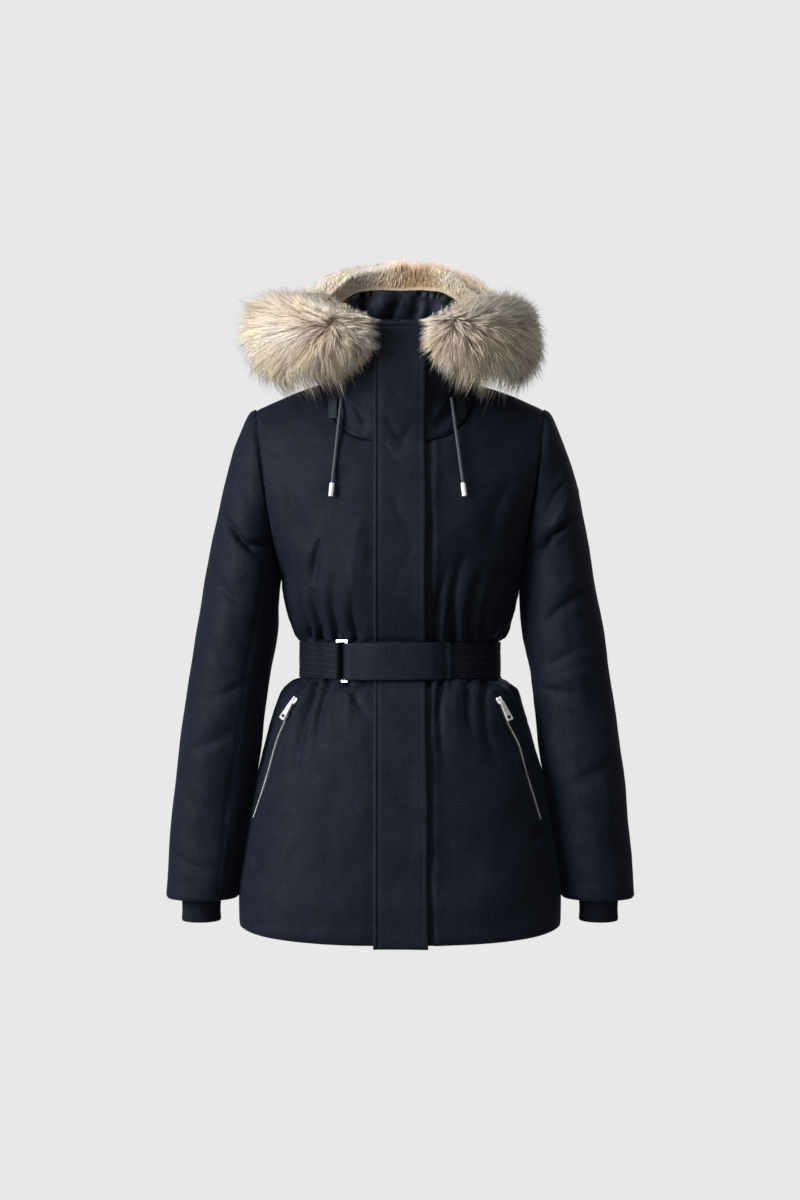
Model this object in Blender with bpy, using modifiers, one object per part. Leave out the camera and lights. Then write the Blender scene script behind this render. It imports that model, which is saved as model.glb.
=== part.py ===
"""Fur trimmed parka, belted, filled out as if worn, with its hood down.

Frame: metres, +Z up, front towards -Y, the wearer's left on +X.
The origin is between the shoulders at the base of the neck.
"""
import math
from collections import namedtuple

import bmesh
import bpy
from mathutils import Matrix, Vector

# ---- Driving dimensions ------------------------------------------------------
GAP = 0.0003               # between pieces that touch
BODY_WALL = 0.005          # padded body and sleeves
HOOD_WALL = 0.0025
LINING_WALL = 0.002
CUFF_WALL = 0.003
FLAP_WALL = 0.004
FLAP_RIGHT_EDGE = -0.0345  # the sewn edge, on the wearer's right
FLAP_LEFT_EDGE = 0.0335
FLAP_DROP = 0.0035         # how far the storm flap hangs below the hem
UNDERARM_Z = -0.235
NECK_HALF_WIDTH = 0.098
NECK_FRONT_Z = -0.064
NECK_SIDE_Z = 0.0241
NECK_BACK_Z = 0.022
UNDERARM_X = 0.160
SHOULDER_X = 0.194
ARMHOLE_POWER = 0.8        # bend of the armhole seam, seen from the front
DOME_POWER = 2.3           # roundness of the shoulders from front to back
CHEST_POWER = 2.4          # squareness of a section above the underarm
ARMHOLE_REACH = 0.66       # depth of the armhole as a share of the chest's depth
BELT_LOW, BELT_HIGH = -0.3745, -0.3255
BELT_THICK = 0.0022
BELT_BODY_GAP = 0.0008
BUCKLE_X = -0.0740
BUCKLE_WIDE, BUCKLE_TALL = 0.0172, 0.0564
BUCKLE_WIRE, BUCKLE_DEEP = 0.0032, 0.0026
BUCKLE_RISE = 0.0048       # middle of the buckle above the cloth
STRAP_END_X = 0.0650
CORD_WIDE = 0.0038
CORD_LIFT = 0.0020         # clear of the cloth under it
CORD_END_LONG = 0.0175
CORD_END_WIDE = 0.0066
ZIP_WIDE, ZIP_THICK = 0.0056, 0.0014
SLIDER_LONG, SLIDER_WIDE, SLIDER_THICK = 0.0095, 0.0098, 0.0026
SLIDER_RISE = 0.0036       # middle of the slider above the cloth
SLIDER_SHIFT = 0.0055      # of its middle up from the first tooth
HINGE_RISE = 0.0024        # the pull's pin above the slider's middle
HINGE_SHIFT = 0.0030       # of the pin up from the first tooth
PULL_LONG = 0.0270
PULL_THICK = 0.0015
PULL_SLOT = (0.0066, 0.0042)
PULL_EYE_RADIUS = 0.0010
TAB_LIFT, TAB_THICK = 0.0018, 0.0020

# ---- Tables ------------------------------------------------------------------
# Torso below the underarm: a section at each height.
Section = namedtuple("Section", "z half_width front back power")
TORSO = [
    Section(-0.7140, 0.2130, 0.1540, 0.1430, 2.80),
    Section(-0.7040, 0.2140, 0.1550, 0.1440, 2.80),
    Section(-0.6680, 0.2145, 0.1550, 0.1440, 2.75),
    Section(-0.6210, 0.2090, 0.1510, 0.1420, 2.70),
    Section(-0.5670, 0.2015, 0.1465, 0.1390, 2.60),
    Section(-0.5130, 0.1925, 0.1410, 0.1350, 2.55),
    Section(-0.4660, 0.1815, 0.1345, 0.1295, 2.45),
    Section(-0.4320, 0.1720, 0.1280, 0.1235, 2.38),
    Section(-0.4050, 0.1640, 0.1210, 0.1160, 2.32),
    Section(-0.3900, 0.1565, 0.1145, 0.1090, 2.26),
    Section(-0.3835, 0.1490, 0.1090, 0.1035, 2.22),
    Section(-0.3770, 0.1335, 0.1005, 0.0960, 2.20),
    Section(-0.3230, 0.1325, 0.1000, 0.0950, 2.20),
    Section(-0.3165, 0.1405, 0.1065, 0.1010, 2.22),
    Section(-0.3060, 0.1468, 0.1120, 0.1060, 2.26),
    Section(-0.2880, 0.1530, 0.1190, 0.1115, 2.30),
    Section(-0.2600, 0.1585, 0.1270, 0.1180, 2.35),
    Section(UNDERARM_Z, UNDERARM_X, 0.1300, 0.1200, CHEST_POWER),
]

# Chest above the underarm: rise is 0 at the underarm and 1 on the shoulder seam.
Chest = namedtuple("Chest", "rise front back")
CHEST = [
    Chest(0.00, 0.1300, 0.1200),
    Chest(0.35, 0.1310, 0.1230),
    Chest(0.70, 0.1260, 0.1220),
    Chest(1.00, 0.1220, 0.1200),
]

# Sleeve: outer and inner silhouette of each ring, its half depth and its middle.
Ring = namedtuple("Ring", "step outer_x outer_z inner_x inner_z deep y")
SLEEVE = [
    Ring(0, 0.1943, -0.0140, 0.1603, -0.2350, 0.0650, 0.000),
    Ring(0.5, 0.2010, -0.0190, 0.1604, -0.2395, 0.0665, 0.000),
    Ring(1, 0.2080, -0.0300, 0.1606, -0.2440, 0.0680, 0.000),
    Ring(2, 0.2275, -0.0790, 0.1607, -0.2540, 0.0705, -0.001),
    Ring(3, 0.2395, -0.1230, 0.1609, -0.2680, 0.0715, -0.003),
    Ring(4, 0.2500, -0.1750, 0.1618, -0.2900, 0.0715, -0.006),
    Ring(5, 0.2612, -0.2400, 0.1655, -0.3240, 0.0705, -0.010),
    Ring(6, 0.2730, -0.3120, 0.1735, -0.3660, 0.0685, -0.014),
    Ring(7, 0.2850, -0.3920, 0.1810, -0.4200, 0.0655, -0.018),
    Ring(8, 0.2955, -0.4670, 0.1890, -0.4790, 0.0625, -0.021),
    Ring(9, 0.3035, -0.5400, 0.2000, -0.5430, 0.0590, -0.023),
    Ring(10, 0.3088, -0.6080, 0.2095, -0.6090, 0.0560, -0.025),
    Ring(11, 0.3134, -0.6665, 0.2168, -0.6665, 0.0530, -0.026),
]
ARMHOLE_BLEND = 4          # rings over which the armhole's outline fades out

# Rib cuff: middle follows the sleeve's end; half sizes at each height.
Rib = namedtuple("Rib", "z half_width half_deep")
CUFF = [
    Rib(-0.6350, 0.0385, 0.0440),
    Rib(-0.6480, 0.0330, 0.0390),
    Rib(-0.6600, 0.0285, 0.0345),
    Rib(-0.6700, 0.0262, 0.0322),
    Rib(-0.6840, 0.0255, 0.0315),
    Rib(-0.6975, 0.0265, 0.0325),
]
CUFF_MIDDLE = (0.2657, -0.026)

# Hood, from the neck seam (step 0) to its rim (last step).
Hoop = namedtuple("Hoop", "step front_y front_z side_x side_y side_z back_y back_z")
HOOD = [
    Hoop(0, -0.1040, -0.0640, 0.0980, 0.0000, 0.0241, 0.0560, 0.0220),
    Hoop(1, -0.1095, -0.0300, 0.1040, -0.0080, 0.0440, 0.0950, -0.0020),
    Hoop(2, -0.1140, 0.0050, 0.1170, -0.0100, 0.0540, 0.1380, -0.0560),
    Hoop(3, -0.1170, 0.0350, 0.1280, -0.0110, 0.0640, 0.1880, -0.0650),
    Hoop(4, -0.1190, 0.0620, 0.1330, -0.0110, 0.0740, 0.2120, -0.0050),
    Hoop(5, -0.1200, 0.0800, 0.1335, -0.0100, 0.0810, 0.1920, 0.0800),
    Hoop(6, -0.1205, 0.0935, 0.1310, -0.0100, 0.0900, 0.1340, 0.1660),
]

# Fur: how far it reaches out from the rim, above it and below it.
Fur = namedtuple("Fur", "turn out up down")
FUR = [
    Fur(0.00, 0.060, 0.044, 0.080),
    Fur(0.25, 0.074, 0.050, 0.100),
    Fur(0.50, 0.082, 0.050, 0.082),
    Fur(0.75, 0.072, 0.048, 0.066),
    Fur(1.00, 0.060, 0.040, 0.060),
]
FUR_FRONT_X = 0.0395
FUR_ROUNDING = 0.16        # share of half the trim over which its ends round off

# Pocket zips, from their sliders down: how far each lies from the middle.
Stop = namedtuple("Stop", "z right left")
POCKET_ZIP = [
    Stop(-0.4080, 0.1395, 0.1310),
    Stop(-0.4330, 0.1525, 0.1415),
    Stop(-0.4610, 0.1635, 0.1555),
    Stop(-0.4950, 0.1725, 0.1645),
    Stop(-0.5290, 0.1830, 0.1750),
    Stop(-0.5600, 0.1930, 0.1840),
]

# Drawcords: distance from the middle where each leaves the hood and where it ends.
Drawcord = namedtuple("Drawcord", "top_x top_z low_x low_z")
DRAWCORDS = {
    "right": Drawcord(0.0770, -0.0070, 0.0880, -0.1190),
    "left": Drawcord(0.0670, -0.0050, 0.0815, -0.1190),
}
# Tabs that hold the cords to the hood, each on its cord's outer side.
Tab = namedtuple("Tab", "near_x far_x low_z high_z")
TABS = {
    "right": Tab(0.0826, 0.0945, -0.0320, -0.0040),
    "left": Tab(0.0736, 0.0862, -0.0335, -0.0050),
}

# Facets of each piece.
TORSO_COLUMNS = 10
NECK_COLUMNS = 6           # of those, the ones that end on the neckline
CHEST_ROWS = 9
SLEEVE_SIDES = 24
CUFF_SIDES = 24
FUR_STATIONS = 26
FUR_SIDES = 11
ZIP_PIECES = 10
CORD_PIECES = 24

# ---- Curves through the tables ---------------------------------------------------


def along(rows, key, name, at):
    """A column of a table at any place, on a smooth curve with no overshoot."""
    xs = [getattr(row, key) for row in rows]
    ys = [getattr(row, name) for row in rows]
    if xs[0] > xs[-1]:
        xs.reverse()
        ys.reverse()
    at = min(max(at, xs[0]), xs[-1])
    k = 0
    while k < len(xs) - 2 and at > xs[k + 1]:
        k += 1
    step = [b - a for a, b in zip(xs, xs[1:])]
    rise = [(b - a) / h for a, b, h in zip(ys, ys[1:], step)]

    def slope(i):
        if i == 0:
            return rise[0]
        if i == len(rise):
            return rise[-1]
        a, b = rise[i - 1], rise[i]
        return 0.0 if a * b <= 0 else 2 * a * b / (a + b)

    h = step[k]
    t = (at - xs[k]) / h
    return ((1 + 2 * t) * (1 - t) ** 2 * ys[k] + t * (1 - t) ** 2 * h * slope(k)
            + t * t * (3 - 2 * t) * ys[k + 1] + t * t * (t - 1) * h * slope(k + 1))


def ease(at, low, high):
    """0 below low, 1 above high, smooth between."""
    t = min(max((at - low) / (high - low), 0.0), 1.0)
    return t * t * (3 - 2 * t)


def mix(a, b, t):
    return a + (b - a) * t


def quarter(share, power):
    """The other coordinate of a superellipse's quarter."""
    return max(1 - min(abs(share), 1.0) ** power, 0.0) ** (1 / power)


# ---- The torso's surface -----------------------------------------------------------
# A place on it is (s, t): s from the middle (0) to the side (1), t from the hem (0)
# to the underarm (1) and on to the neckline and shoulder seam (2).


def shoulder_height(x):
    return 0.045 - 0.125 * x - 0.9 * x * x


def armhole_x(rise):
    return mix(UNDERARM_X, SHOULDER_X, rise ** ARMHOLE_POWER)


def chest_point(x, rise, front):
    depth = along(CHEST, "rise", "front" if front else "back", rise)
    reach = ARMHOLE_REACH * math.sqrt(max(1 - (1 - rise) ** 2, 0.0))
    half_width = armhole_x(rise) / quarter(reach, CHEST_POWER)
    y = depth * quarter(x / half_width, CHEST_POWER) * quarter(rise, DOME_POWER)
    z = UNDERARM_Z + (shoulder_height(x) - UNDERARM_Z) * rise
    return Vector((x, -y if front else y, z))


def neckline(turn, front):
    """Distance from the middle and height; turn is 0 in the middle, 1 at the side."""
    angle = turn * math.pi / 2
    x = NECK_HALF_WIDTH * math.sin(angle)
    if front:
        return x, mix(NECK_FRONT_Z, NECK_SIDE_Z, (1 - math.cos(angle)) ** 1.6)
    return x, mix(NECK_BACK_Z, NECK_SIDE_Z, math.sin(angle) ** 2)


def rise_at(x, z):
    return (z - UNDERARM_Z) / (shoulder_height(x) - UNDERARM_Z)


NECK_SHARE = NECK_COLUMNS / TORSO_COLUMNS


def torso_point(s, t, front):
    """A point of the half on +X."""
    if t <= 1:
        height = mix(TORSO[0].z, UNDERARM_Z, t)
        power = along(TORSO, "z", "power", height)
        angle = s * math.pi / 2
        x = along(TORSO, "z", "half_width", height) * math.sin(angle) ** (2 / power)
        depth = along(TORSO, "z", "front" if front else "back", height)
        y = depth * math.cos(angle) ** (2 / power)
        lift = 0.0095 * math.sin(angle) ** 2 * (1 - ease(height, -0.71, -0.50))
        return Vector((x, -y if front else y, height + lift))
    climb = (1 - math.cos(math.pi * (t - 1))) / 2
    if s <= NECK_SHARE:
        x_top, z_top = neckline(s / NECK_SHARE, front)
        rise_top = rise_at(x_top, z_top)
    else:
        x_top = mix(NECK_HALF_WIDTH, SHOULDER_X, (s - NECK_SHARE) / (1 - NECK_SHARE))
        rise_top = 1.0
    rise = min(rise_top * climb, 1.0)
    x_low = UNDERARM_X * math.sin(s * math.pi / 2) ** (2 / CHEST_POWER)
    edge = armhole_x(climb) - mix(UNDERARM_X, SHOULDER_X, climb)
    x = mix(x_low, x_top, climb) + s * edge
    return chest_point(x, rise, front)


def facing(point_at, a, b, step=0.004):
    """The unit normal of a surface of two parameters, found by differences."""
    down, up = max(a - step, 0.0), min(a + step, 1.0)
    across = point_at(up, b) - point_at(down, b)
    rising = point_at(a, b + step) - point_at(a, b - step)
    return across.cross(rising).normalized()


def torso_normal(s, t, front):
    t = min(max(t, 0.004), 1.996)
    normal = facing(lambda a, b: torso_point(a, b, front), s, t)
    if not front:
        normal = -normal
    if s < 1e-6:
        normal.x = 0
    if s > 1 - 1e-6 and t <= 1.0:
        normal.y = 0
    if t > 1.99 and s >= NECK_SHARE:
        normal.y = 0
    return normal.normalized()


def torso_rows():
    span = UNDERARM_Z - TORSO[0].z
    low = [(row.z - TORSO[0].z) / span for row in TORSO]
    return low + [1 + k / CHEST_ROWS for k in range(1, CHEST_ROWS + 1)]


def keep_off(point, sign, front):
    """Holds a point half a gap from the middle and from the side seam."""
    y = max(abs(point.y), GAP / 2)
    return Vector((sign * max(point.x, GAP / 2), -y if front else y, point.z))


# ---- Building solids -----------------------------------------------------------------


def material(name, colour, roughness, metallic=0.0):
    made = bpy.data.materials.new(name)
    made.use_nodes = True
    shader = made.node_tree.nodes["Principled BSDF"]
    shader.inputs["Base Color"].default_value = (*colour, 1)
    shader.inputs["Roughness"].default_value = roughness
    shader.inputs["Metallic"].default_value = metallic
    return made


NAVY = (0.012, 0.015, 0.024)
SILVER = (0.72, 0.72, 0.72)


def new_object(name, mesh, colour, roughness, metallic=0.0):
    made = bpy.data.objects.new(name, mesh)
    parka.objects.link(made)
    mesh.materials.append(material(name, colour, roughness, metallic))
    return made


def face_out(mesh_data):
    bmesh.ops.recalc_face_normals(mesh_data, faces=mesh_data.faces)
    if mesh_data.calc_volume(signed=True) < 0:
        bmesh.ops.reverse_faces(mesh_data, faces=mesh_data.faces)


def wall(name, outer, inner, colour, roughness, closed=False, metallic=0.0):
    """A solid between two grids of points; closed joins each row's two ends."""
    cage = bmesh.new()
    grids = [[[cage.verts.new(p) for p in row] for row in grid] for grid in (outer, inner)]
    rows, columns = len(outer), len(outer[0])
    spans = [(c, (c + 1) % columns) for c in range(columns if closed else columns - 1)]
    for grid in grids:
        for r in range(rows - 1):
            for c, d in spans:
                cage.faces.new((grid[r][c], grid[r][d], grid[r + 1][d], grid[r + 1][c]))
    out, back = grids
    for r in (0, rows - 1):
        for c, d in spans:
            cage.faces.new((out[r][c], out[r][d], back[r][d], back[r][c]))
    if not closed:
        for c in (0, columns - 1):
            for r in range(rows - 1):
                cage.faces.new((out[r][c], out[r + 1][c], back[r + 1][c], back[r][c]))
    face_out(cage)
    mesh = bpy.data.meshes.new(name)
    cage.to_mesh(mesh)
    cage.free()
    mesh.shade_smooth()
    mesh.set_sharp_from_angle(angle=math.radians(40))
    return new_object(name, mesh, colour, roughness, metallic)


def panel(name, sides, front):
    """Front half or whole back: sides lists the signs of x from first to last column."""
    outer, inner = [], []
    for t in torso_rows():
        places = []
        for sign in sides:
            shares = [k / TORSO_COLUMNS for k in range(TORSO_COLUMNS + 1)]
            if sign < 0:
                shares.reverse()
            if len(sides) == 2 and sign > 0:
                shares = shares[1:]
            places += [(sign, s) for s in shares]
        outer_row, inner_row = [], []
        for sign, s in places:
            point = torso_point(s, t, front)
            inside = point - torso_normal(s, t, front) * BODY_WALL
            if len(sides) == 2 and s == 0:
                outer_row.append(Vector((0, point.y, point.z)))
                inner_row.append(Vector((0, inside.y, inside.z)))
            else:
                outer_row.append(keep_off(point, sign, front))
                inner_row.append(keep_off(inside, sign, front))
        outer.append(outer_row)
        inner.append(inner_row)
    return wall(name, outer, inner, NAVY, 0.75)


# ---- Sleeves and cuffs -----------------------------------------------------------------


def armhole_point(angle):
    """Round the armhole from the shoulder (0) by the front to the underarm (pi)."""
    rise = (1 + math.cos(angle)) / 2
    return chest_point(armhole_x(rise), rise, math.sin(angle) >= 0)


def sleeve_ring(step):
    ring = {name: along(SLEEVE, "step", name, step) for name in Ring._fields[1:]}
    outer = Vector((ring["outer_x"], ring["y"], ring["outer_z"]))
    inner = Vector((ring["inner_x"], ring["y"], ring["inner_z"]))
    return (outer + inner) / 2, (outer - inner) / 2, ring["deep"]


def sleeve_point(angle, step):
    middle, half, deep = sleeve_ring(step)
    point = middle + half * math.cos(angle) + Vector((0, -deep * math.sin(angle), 0))
    share = 1 - ease(step, 0, ARMHOLE_BLEND)
    if share > 0:
        first_middle, first_half, first_deep = sleeve_ring(0)
        plain = first_middle + first_half * math.cos(angle)
        plain.y -= first_deep * math.sin(angle)
        point += (armhole_point(angle) + Vector((GAP, 0, 0)) - plain) * share
    return point


def sleeve(name, sign):
    steps = [0, 0.5] + list(range(1, 12))
    outer, inner = [], []
    for step in steps:
        middle = sleeve_ring(step)[0]
        outer_row, inner_row = [], []
        for k in range(SLEEVE_SIDES):
            point = sleeve_point(2 * math.pi * k / SLEEVE_SIDES, step)
            inside = point + (middle - point).normalized() * BODY_WALL
            outer_row.append(Vector((sign * point.x, point.y, point.z)))
            inner_row.append(Vector((sign * inside.x, inside.y, inside.z)))
        outer.append(outer_row)
        inner.append(inner_row)
    return wall(name, outer, inner, NAVY, 0.75, closed=True)


def cuff(name, sign):
    outer, inner = [], []
    for rib in CUFF:
        for grid, thinner in ((outer, 0), (inner, CUFF_WALL)):
            row = []
            for k in range(CUFF_SIDES):
                angle = 2 * math.pi * k / CUFF_SIDES
                x = CUFF_MIDDLE[0] + (rib.half_width - thinner) * math.cos(angle)
                y = CUFF_MIDDLE[1] + (rib.half_deep - thinner) * math.sin(angle)
                row.append(Vector((sign * x, y, rib.z)))
            grid.append(row)
    return wall(name, outer, inner, (0.004, 0.005, 0.008), 0.9, closed=True)


# ---- Hood --------------------------------------------------------------------------------
# A place on it is (turn, step): turn from the middle of the front (0) by the side (0.5)
# to the middle of the back (1), step from the neck seam (0) to the rim (6).

RIM = HOOD[-1].step


def hood_point(turn, step):
    """A point of the half on +X."""
    angle = turn * math.pi
    across, ahead = math.sin(angle), math.cos(angle)
    hoop = {name: along(HOOD, "step", name, step) for name in Hoop._fields[1:]}
    x = hoop["side_x"] * max(across, 0) ** 0.85
    end = "front" if ahead >= 0 else "back"
    y = mix(hoop["side_y"], hoop[end + "_y"], abs(ahead) ** 0.85)
    z = mix(hoop["side_z"], hoop[end + "_z"], ahead * ahead)
    point = Vector((x, y, z))
    share = 1 - ease(step, 0, 1)
    if share > 0:
        point += (neck_point(turn) - hood_neck_guess(turn)) * share
    return point


def hood_neck_guess(turn):
    angle = turn * math.pi
    across, ahead = max(math.sin(angle), 0), math.cos(angle)
    hoop = HOOD[0]
    end_y, end_z = ((hoop.front_y, hoop.front_z) if ahead >= 0
                    else (hoop.back_y, hoop.back_z))
    return Vector((hoop.side_x * across ** 0.85,
                   mix(hoop.side_y, end_y, abs(ahead) ** 0.85),
                   mix(hoop.side_z, end_z, ahead * ahead)))


def neck_point(turn):
    """The body's neckline, with a gap above it."""
    front = turn <= 0.5
    x, z = neckline(2 * turn if front else 2 - 2 * turn, front)
    return chest_point(x, rise_at(x, z), front) + Vector((0, 0, GAP))


def hood_normal(turn, step):
    step = min(max(step, 0.01), RIM - 0.01)
    normal = facing(lambda a, b: hood_point(a, b), turn, step)
    if turn < 1e-6 or turn > 1 - 1e-6:
        normal.x = 0
    return normal.normalized()


def hood_layer(name, depth, thick, colour, roughness, rim_step):
    """A layer of the hood, its outer face that far inside the hood's surface."""
    steps = [0, 0.5, 1, 1.5, 2, 2.5, 3, 3.5, 4, 4.5, 5, 5.5, rim_step]
    turns = [k / (2 * NECK_COLUMNS) for k in range(2 * NECK_COLUMNS + 1)]
    outer, inner = [], []
    for step in steps:
        halves = []
        for distance in (depth, depth + thick):
            row = []
            for turn in turns:
                point = hood_point(turn, step) - hood_normal(turn, step) * distance
                point.x = max(point.x, GAP / 2)
                row.append(point)
            halves.append(row)
        for grid, row in zip((outer, inner), halves):
            back = Vector((0, row[-1].y, row[-1].z))
            mirrored = [Vector((-p.x, p.y, p.z)) for p in row[:-1]]
            grid.append(mirrored + [back] + row[-2::-1])
    return wall(name, outer, inner, colour, roughness)


def fur_trim(name):
    first = math.asin((FUR_FRONT_X / HOOD[-1].side_x) ** (1 / 0.85)) / math.pi
    rings = []
    for k in range(FUR_STATIONS + 1):
        share = k / FUR_STATIONS
        turn = mix(first, 2 - first, (1 - math.cos(math.pi * share)) / 2 * 0.35 + share * 0.65)
        sign = 1 if turn <= 1 else -1
        turn = turn if turn <= 1 else 2 - turn
        rim = hood_point(turn, RIM)
        out = hood_normal(turn, RIM - 0.4)
        out.z = max(out.z, -0.05)
        out = out.normalized()
        ahead = hood_point(min(turn + 0.01, 1), RIM) - hood_point(max(turn - 0.01, 0), RIM)
        if turn > 0.99:
            ahead = Vector((-1, 0, 0))
        up = out.cross(ahead).normalized()
        if up.z < 0:
            up = -up
        reach = {name: along(FUR, "turn", name, turn) for name in Fur._fields[1:]}
        end = min(share, 1 - share) * 2
        size = mix(0.55, 1.0, math.sqrt(1 - (1 - min(end / FUR_ROUNDING, 1.0)) ** 2))
        start = rim + out * (0.0045 + 0.006 * ease(turn, 0.6, 1.0))
        ring = []
        for j in range(FUR_SIDES):
            angle = math.pi * (j / (FUR_SIDES - 1) - 0.5)
            lift = math.sin(angle) * (reach["up"] if angle > 0 else reach["down"])
            point = start + out * (reach["out"] * size * math.cos(angle)) + up * (lift * size)
            ring.append(Vector((sign * point.x, point.y, point.z)))
        rings.append(ring)
    cage = bmesh.new()
    loops = [[cage.verts.new(p) for p in ring] for ring in rings]
    for near, far in zip(loops, loops[1:]):
        for j in range(FUR_SIDES):
            m = (j + 1) % FUR_SIDES
            cage.faces.new((near[j], near[m], far[m], far[j]))
    cage.faces.new(loops[0])
    cage.faces.new(loops[-1])
    bmesh.ops.triangulate(cage, faces=[f for f in cage.faces if len(f.verts) > 4])
    face_out(cage)
    mesh = bpy.data.meshes.new(name)
    cage.to_mesh(mesh)
    cage.free()
    return new_object(name, mesh, (0.52, 0.44, 0.36), 0.9)


# ---- Storm flap -----------------------------------------------------------------------------


def share_at_x(point_at, x):
    """The first parameter of a surface whose point has this distance from the middle."""
    low, high = 0.0, 0.5
    for _ in range(40):
        middle = (low + high) / 2
        if point_at(middle).x < x:
            low = middle
        else:
            high = middle
    return low


def front_skin(x, row):
    """Point and normal on the front of the coat; row is ("torso", t) or ("hood", step)."""
    part, place = row
    point_at = torso_point if part == "torso" else hood_point
    if part == "torso":
        s = share_at_x(lambda a: torso_point(a, place, True), abs(x))
        point, normal = torso_point(s, place, True), torso_normal(s, place, True)
    else:
        s = share_at_x(lambda a: point_at(a, place), abs(x))
        point, normal = hood_point(s, place), hood_normal(s, place)
    if x < 0:
        point.x, normal.x = -point.x, -normal.x
    return point, normal


def storm_flap(name):
    rows = [("torso", t) for t in torso_rows()] + [("hood", s) for s in (1, 2, 3, 4, 5, 5.8)]
    columns = [FLAP_RIGHT_EDGE, -0.0175, 0.0, 0.0170, FLAP_LEFT_EDGE]
    outer, inner = [], []
    for k, row in enumerate(rows):
        outer_row, inner_row = [], []
        for x in columns:
            point, normal = front_skin(x, row)
            near = point + normal * 2 * GAP
            far = near + normal * FLAP_WALL
            if k == 0:
                near.z -= FLAP_DROP
                far.z -= FLAP_DROP
            outer_row.append(far)
            inner_row.append(near)
        outer.append(outer_row)
        inner.append(inner_row)
    return wall(name, outer, inner, (0.014, 0.018, 0.026), 0.7)


# ---- Belt and buckle ---------------------------------------------------------------------------

WAIST_T = ((BELT_LOW + BELT_HIGH) / 2 - TORSO[0].z) / (UNDERARM_Z - TORSO[0].z)


def waist_point(turn):
    """Round the waist, turn 0 in front, 0.5 at the wearer's left, 1 at the back."""
    turn %= 2
    sign = 1 if turn <= 1 else -1
    turn = turn if turn <= 1 else 2 - turn
    front = turn <= 0.5
    point = torso_point(2 * turn if front else 2 - 2 * turn, WAIST_T, front)
    return Vector((sign * point.x, point.y))


def waist_out(turn):
    along_waist = waist_point(turn + 0.004) - waist_point(turn - 0.004)
    return Vector((along_waist.y, -along_waist.x)).normalized()


def turn_at_x(x):
    turn = share_at_x(lambda a: torso_point(2 * a, WAIST_T, True), abs(x))
    return turn if x >= 0 else 2 - turn


def buckle_axes():
    turn = turn_at_x(BUCKLE_X)
    out = waist_out(turn)
    side = Vector((-out.y, out.x))
    middle = waist_point(turn) + out * BUCKLE_RISE
    return middle, out, side


def belt_route():
    """The belt's middle line in plan, from the sewn loop on the buckle's right bar,
    round the back, through the buckle and back on itself to the strap's end."""
    middle, out, side = buckle_axes()
    bar = (BUCKLE_WIDE - BUCKLE_WIRE) / 2
    bend = BUCKLE_WIRE / 2 + GAP + BELT_THICK / 2 + 0.0004
    route = []
    far_bar = middle - side * bar
    for k in range(9):
        angle = math.radians(mix(-80, 90, k / 8))
        route.append(far_bar + side * bend * math.cos(angle) + out * bend * math.sin(angle))
    start, stop = 2 - turn_at_x(abs(BUCKLE_X) + 0.036), turn_at_x(STRAP_END_X + 0.012)
    lie = BELT_BODY_GAP + BELT_THICK / 2
    rise_left = BUCKLE_RISE + bend
    near_turn = 2 - turn_at_x(abs(BUCKLE_X) + 0.0150)
    for k in range(4):
        turn = mix(near_turn, start, k / 3)
        lift = mix(rise_left, lie, ease(k / 3, 0, 1))
        route.append(waist_point(turn) + waist_out(turn) * lift)
    steps = 4 * TORSO_COLUMNS * 2
    first = math.floor(start * steps / 2) - 1
    last = math.ceil(stop * steps / 2) - 1
    for k in range(first, last, -1):
        turn = 2 * k / steps
        route.append(waist_point(turn) + waist_out(turn) * lie)
    flap_lift = FLAP_WALL + 2 * GAP
    under = [0.060, 0.052, 0.044, 0.036, 0.018, 0.0, -0.018, -0.036, -0.043, -0.050, -0.056]
    for x in under:
        turn = turn_at_x(x)
        lift = lie + flap_lift * (1 - ease(abs(x), 0.036, 0.050 if x < 0 else 0.060))
        route.append(waist_point(turn) + waist_out(turn) * lift)
    near_bar = middle + side * bar
    for k in range(11):
        angle = math.radians(mix(-90, -270, k / 10))
        route.append(near_bar + side * bend * math.cos(angle) + out * bend * math.sin(angle))
    over = [-0.050, -0.043, -0.036, -0.018, 0.0, 0.018, 0.036, 0.044, 0.052, 0.060, STRAP_END_X]
    step = BELT_THICK + 0.0006
    for x in over:
        turn = turn_at_x(x)
        lift = lie + flap_lift * (1 - ease(abs(x), 0.036, 0.060)) + step
        if x < -0.036:
            lift = max(lift, mix(rise_left, lift, ease(x, -0.056, -0.034)))
        route.append(waist_point(turn) + waist_out(turn) * lift)
    return route


def belt(name):
    route = belt_route()
    left, right = [], []
    for k, point in enumerate(route):
        before = route[max(k - 1, 0)]
        after = route[min(k + 1, len(route) - 1)]
        forward = (after - before).normalized()
        aside = Vector((forward.y, -forward.x)) * BELT_THICK / 2
        left.append(point + aside)
        right.append(point - aside)
    heights = (BELT_LOW, BELT_HIGH)
    outer = [[Vector((p.x, p.y, z)) for p in left] for z in heights]
    inner = [[Vector((p.x, p.y, z)) for p in right] for z in heights]
    return wall(name, outer, inner, (0.013, 0.016, 0.022), 0.65)


def box(name, size, bevel=0.0):
    bpy.ops.mesh.primitive_cube_add(size=1)
    made = bpy.context.object
    made.name = name
    made.data.transform(Matrix.Diagonal((*size, 1)))
    if bevel:
        rounded = made.modifiers.new("edges", "BEVEL")
        rounded.width = bevel
        rounded.segments = 2
    return made


def move_to(made, collection):
    for held in list(made.users_collection):
        held.objects.unlink(made)
    collection.objects.link(made)


def cut(target, cutter):
    """Cuts a hole; the cutter hangs on the piece, so that it follows it."""
    move_to(cutter, cutters)
    cutter.parent = target
    cutter.hide_render = True
    cutter.display_type = "WIRE"
    hole = target.modifiers.new("hole", "BOOLEAN")
    hole.operation = "DIFFERENCE"
    hole.solver = "EXACT"
    hole.object = cutter


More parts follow.
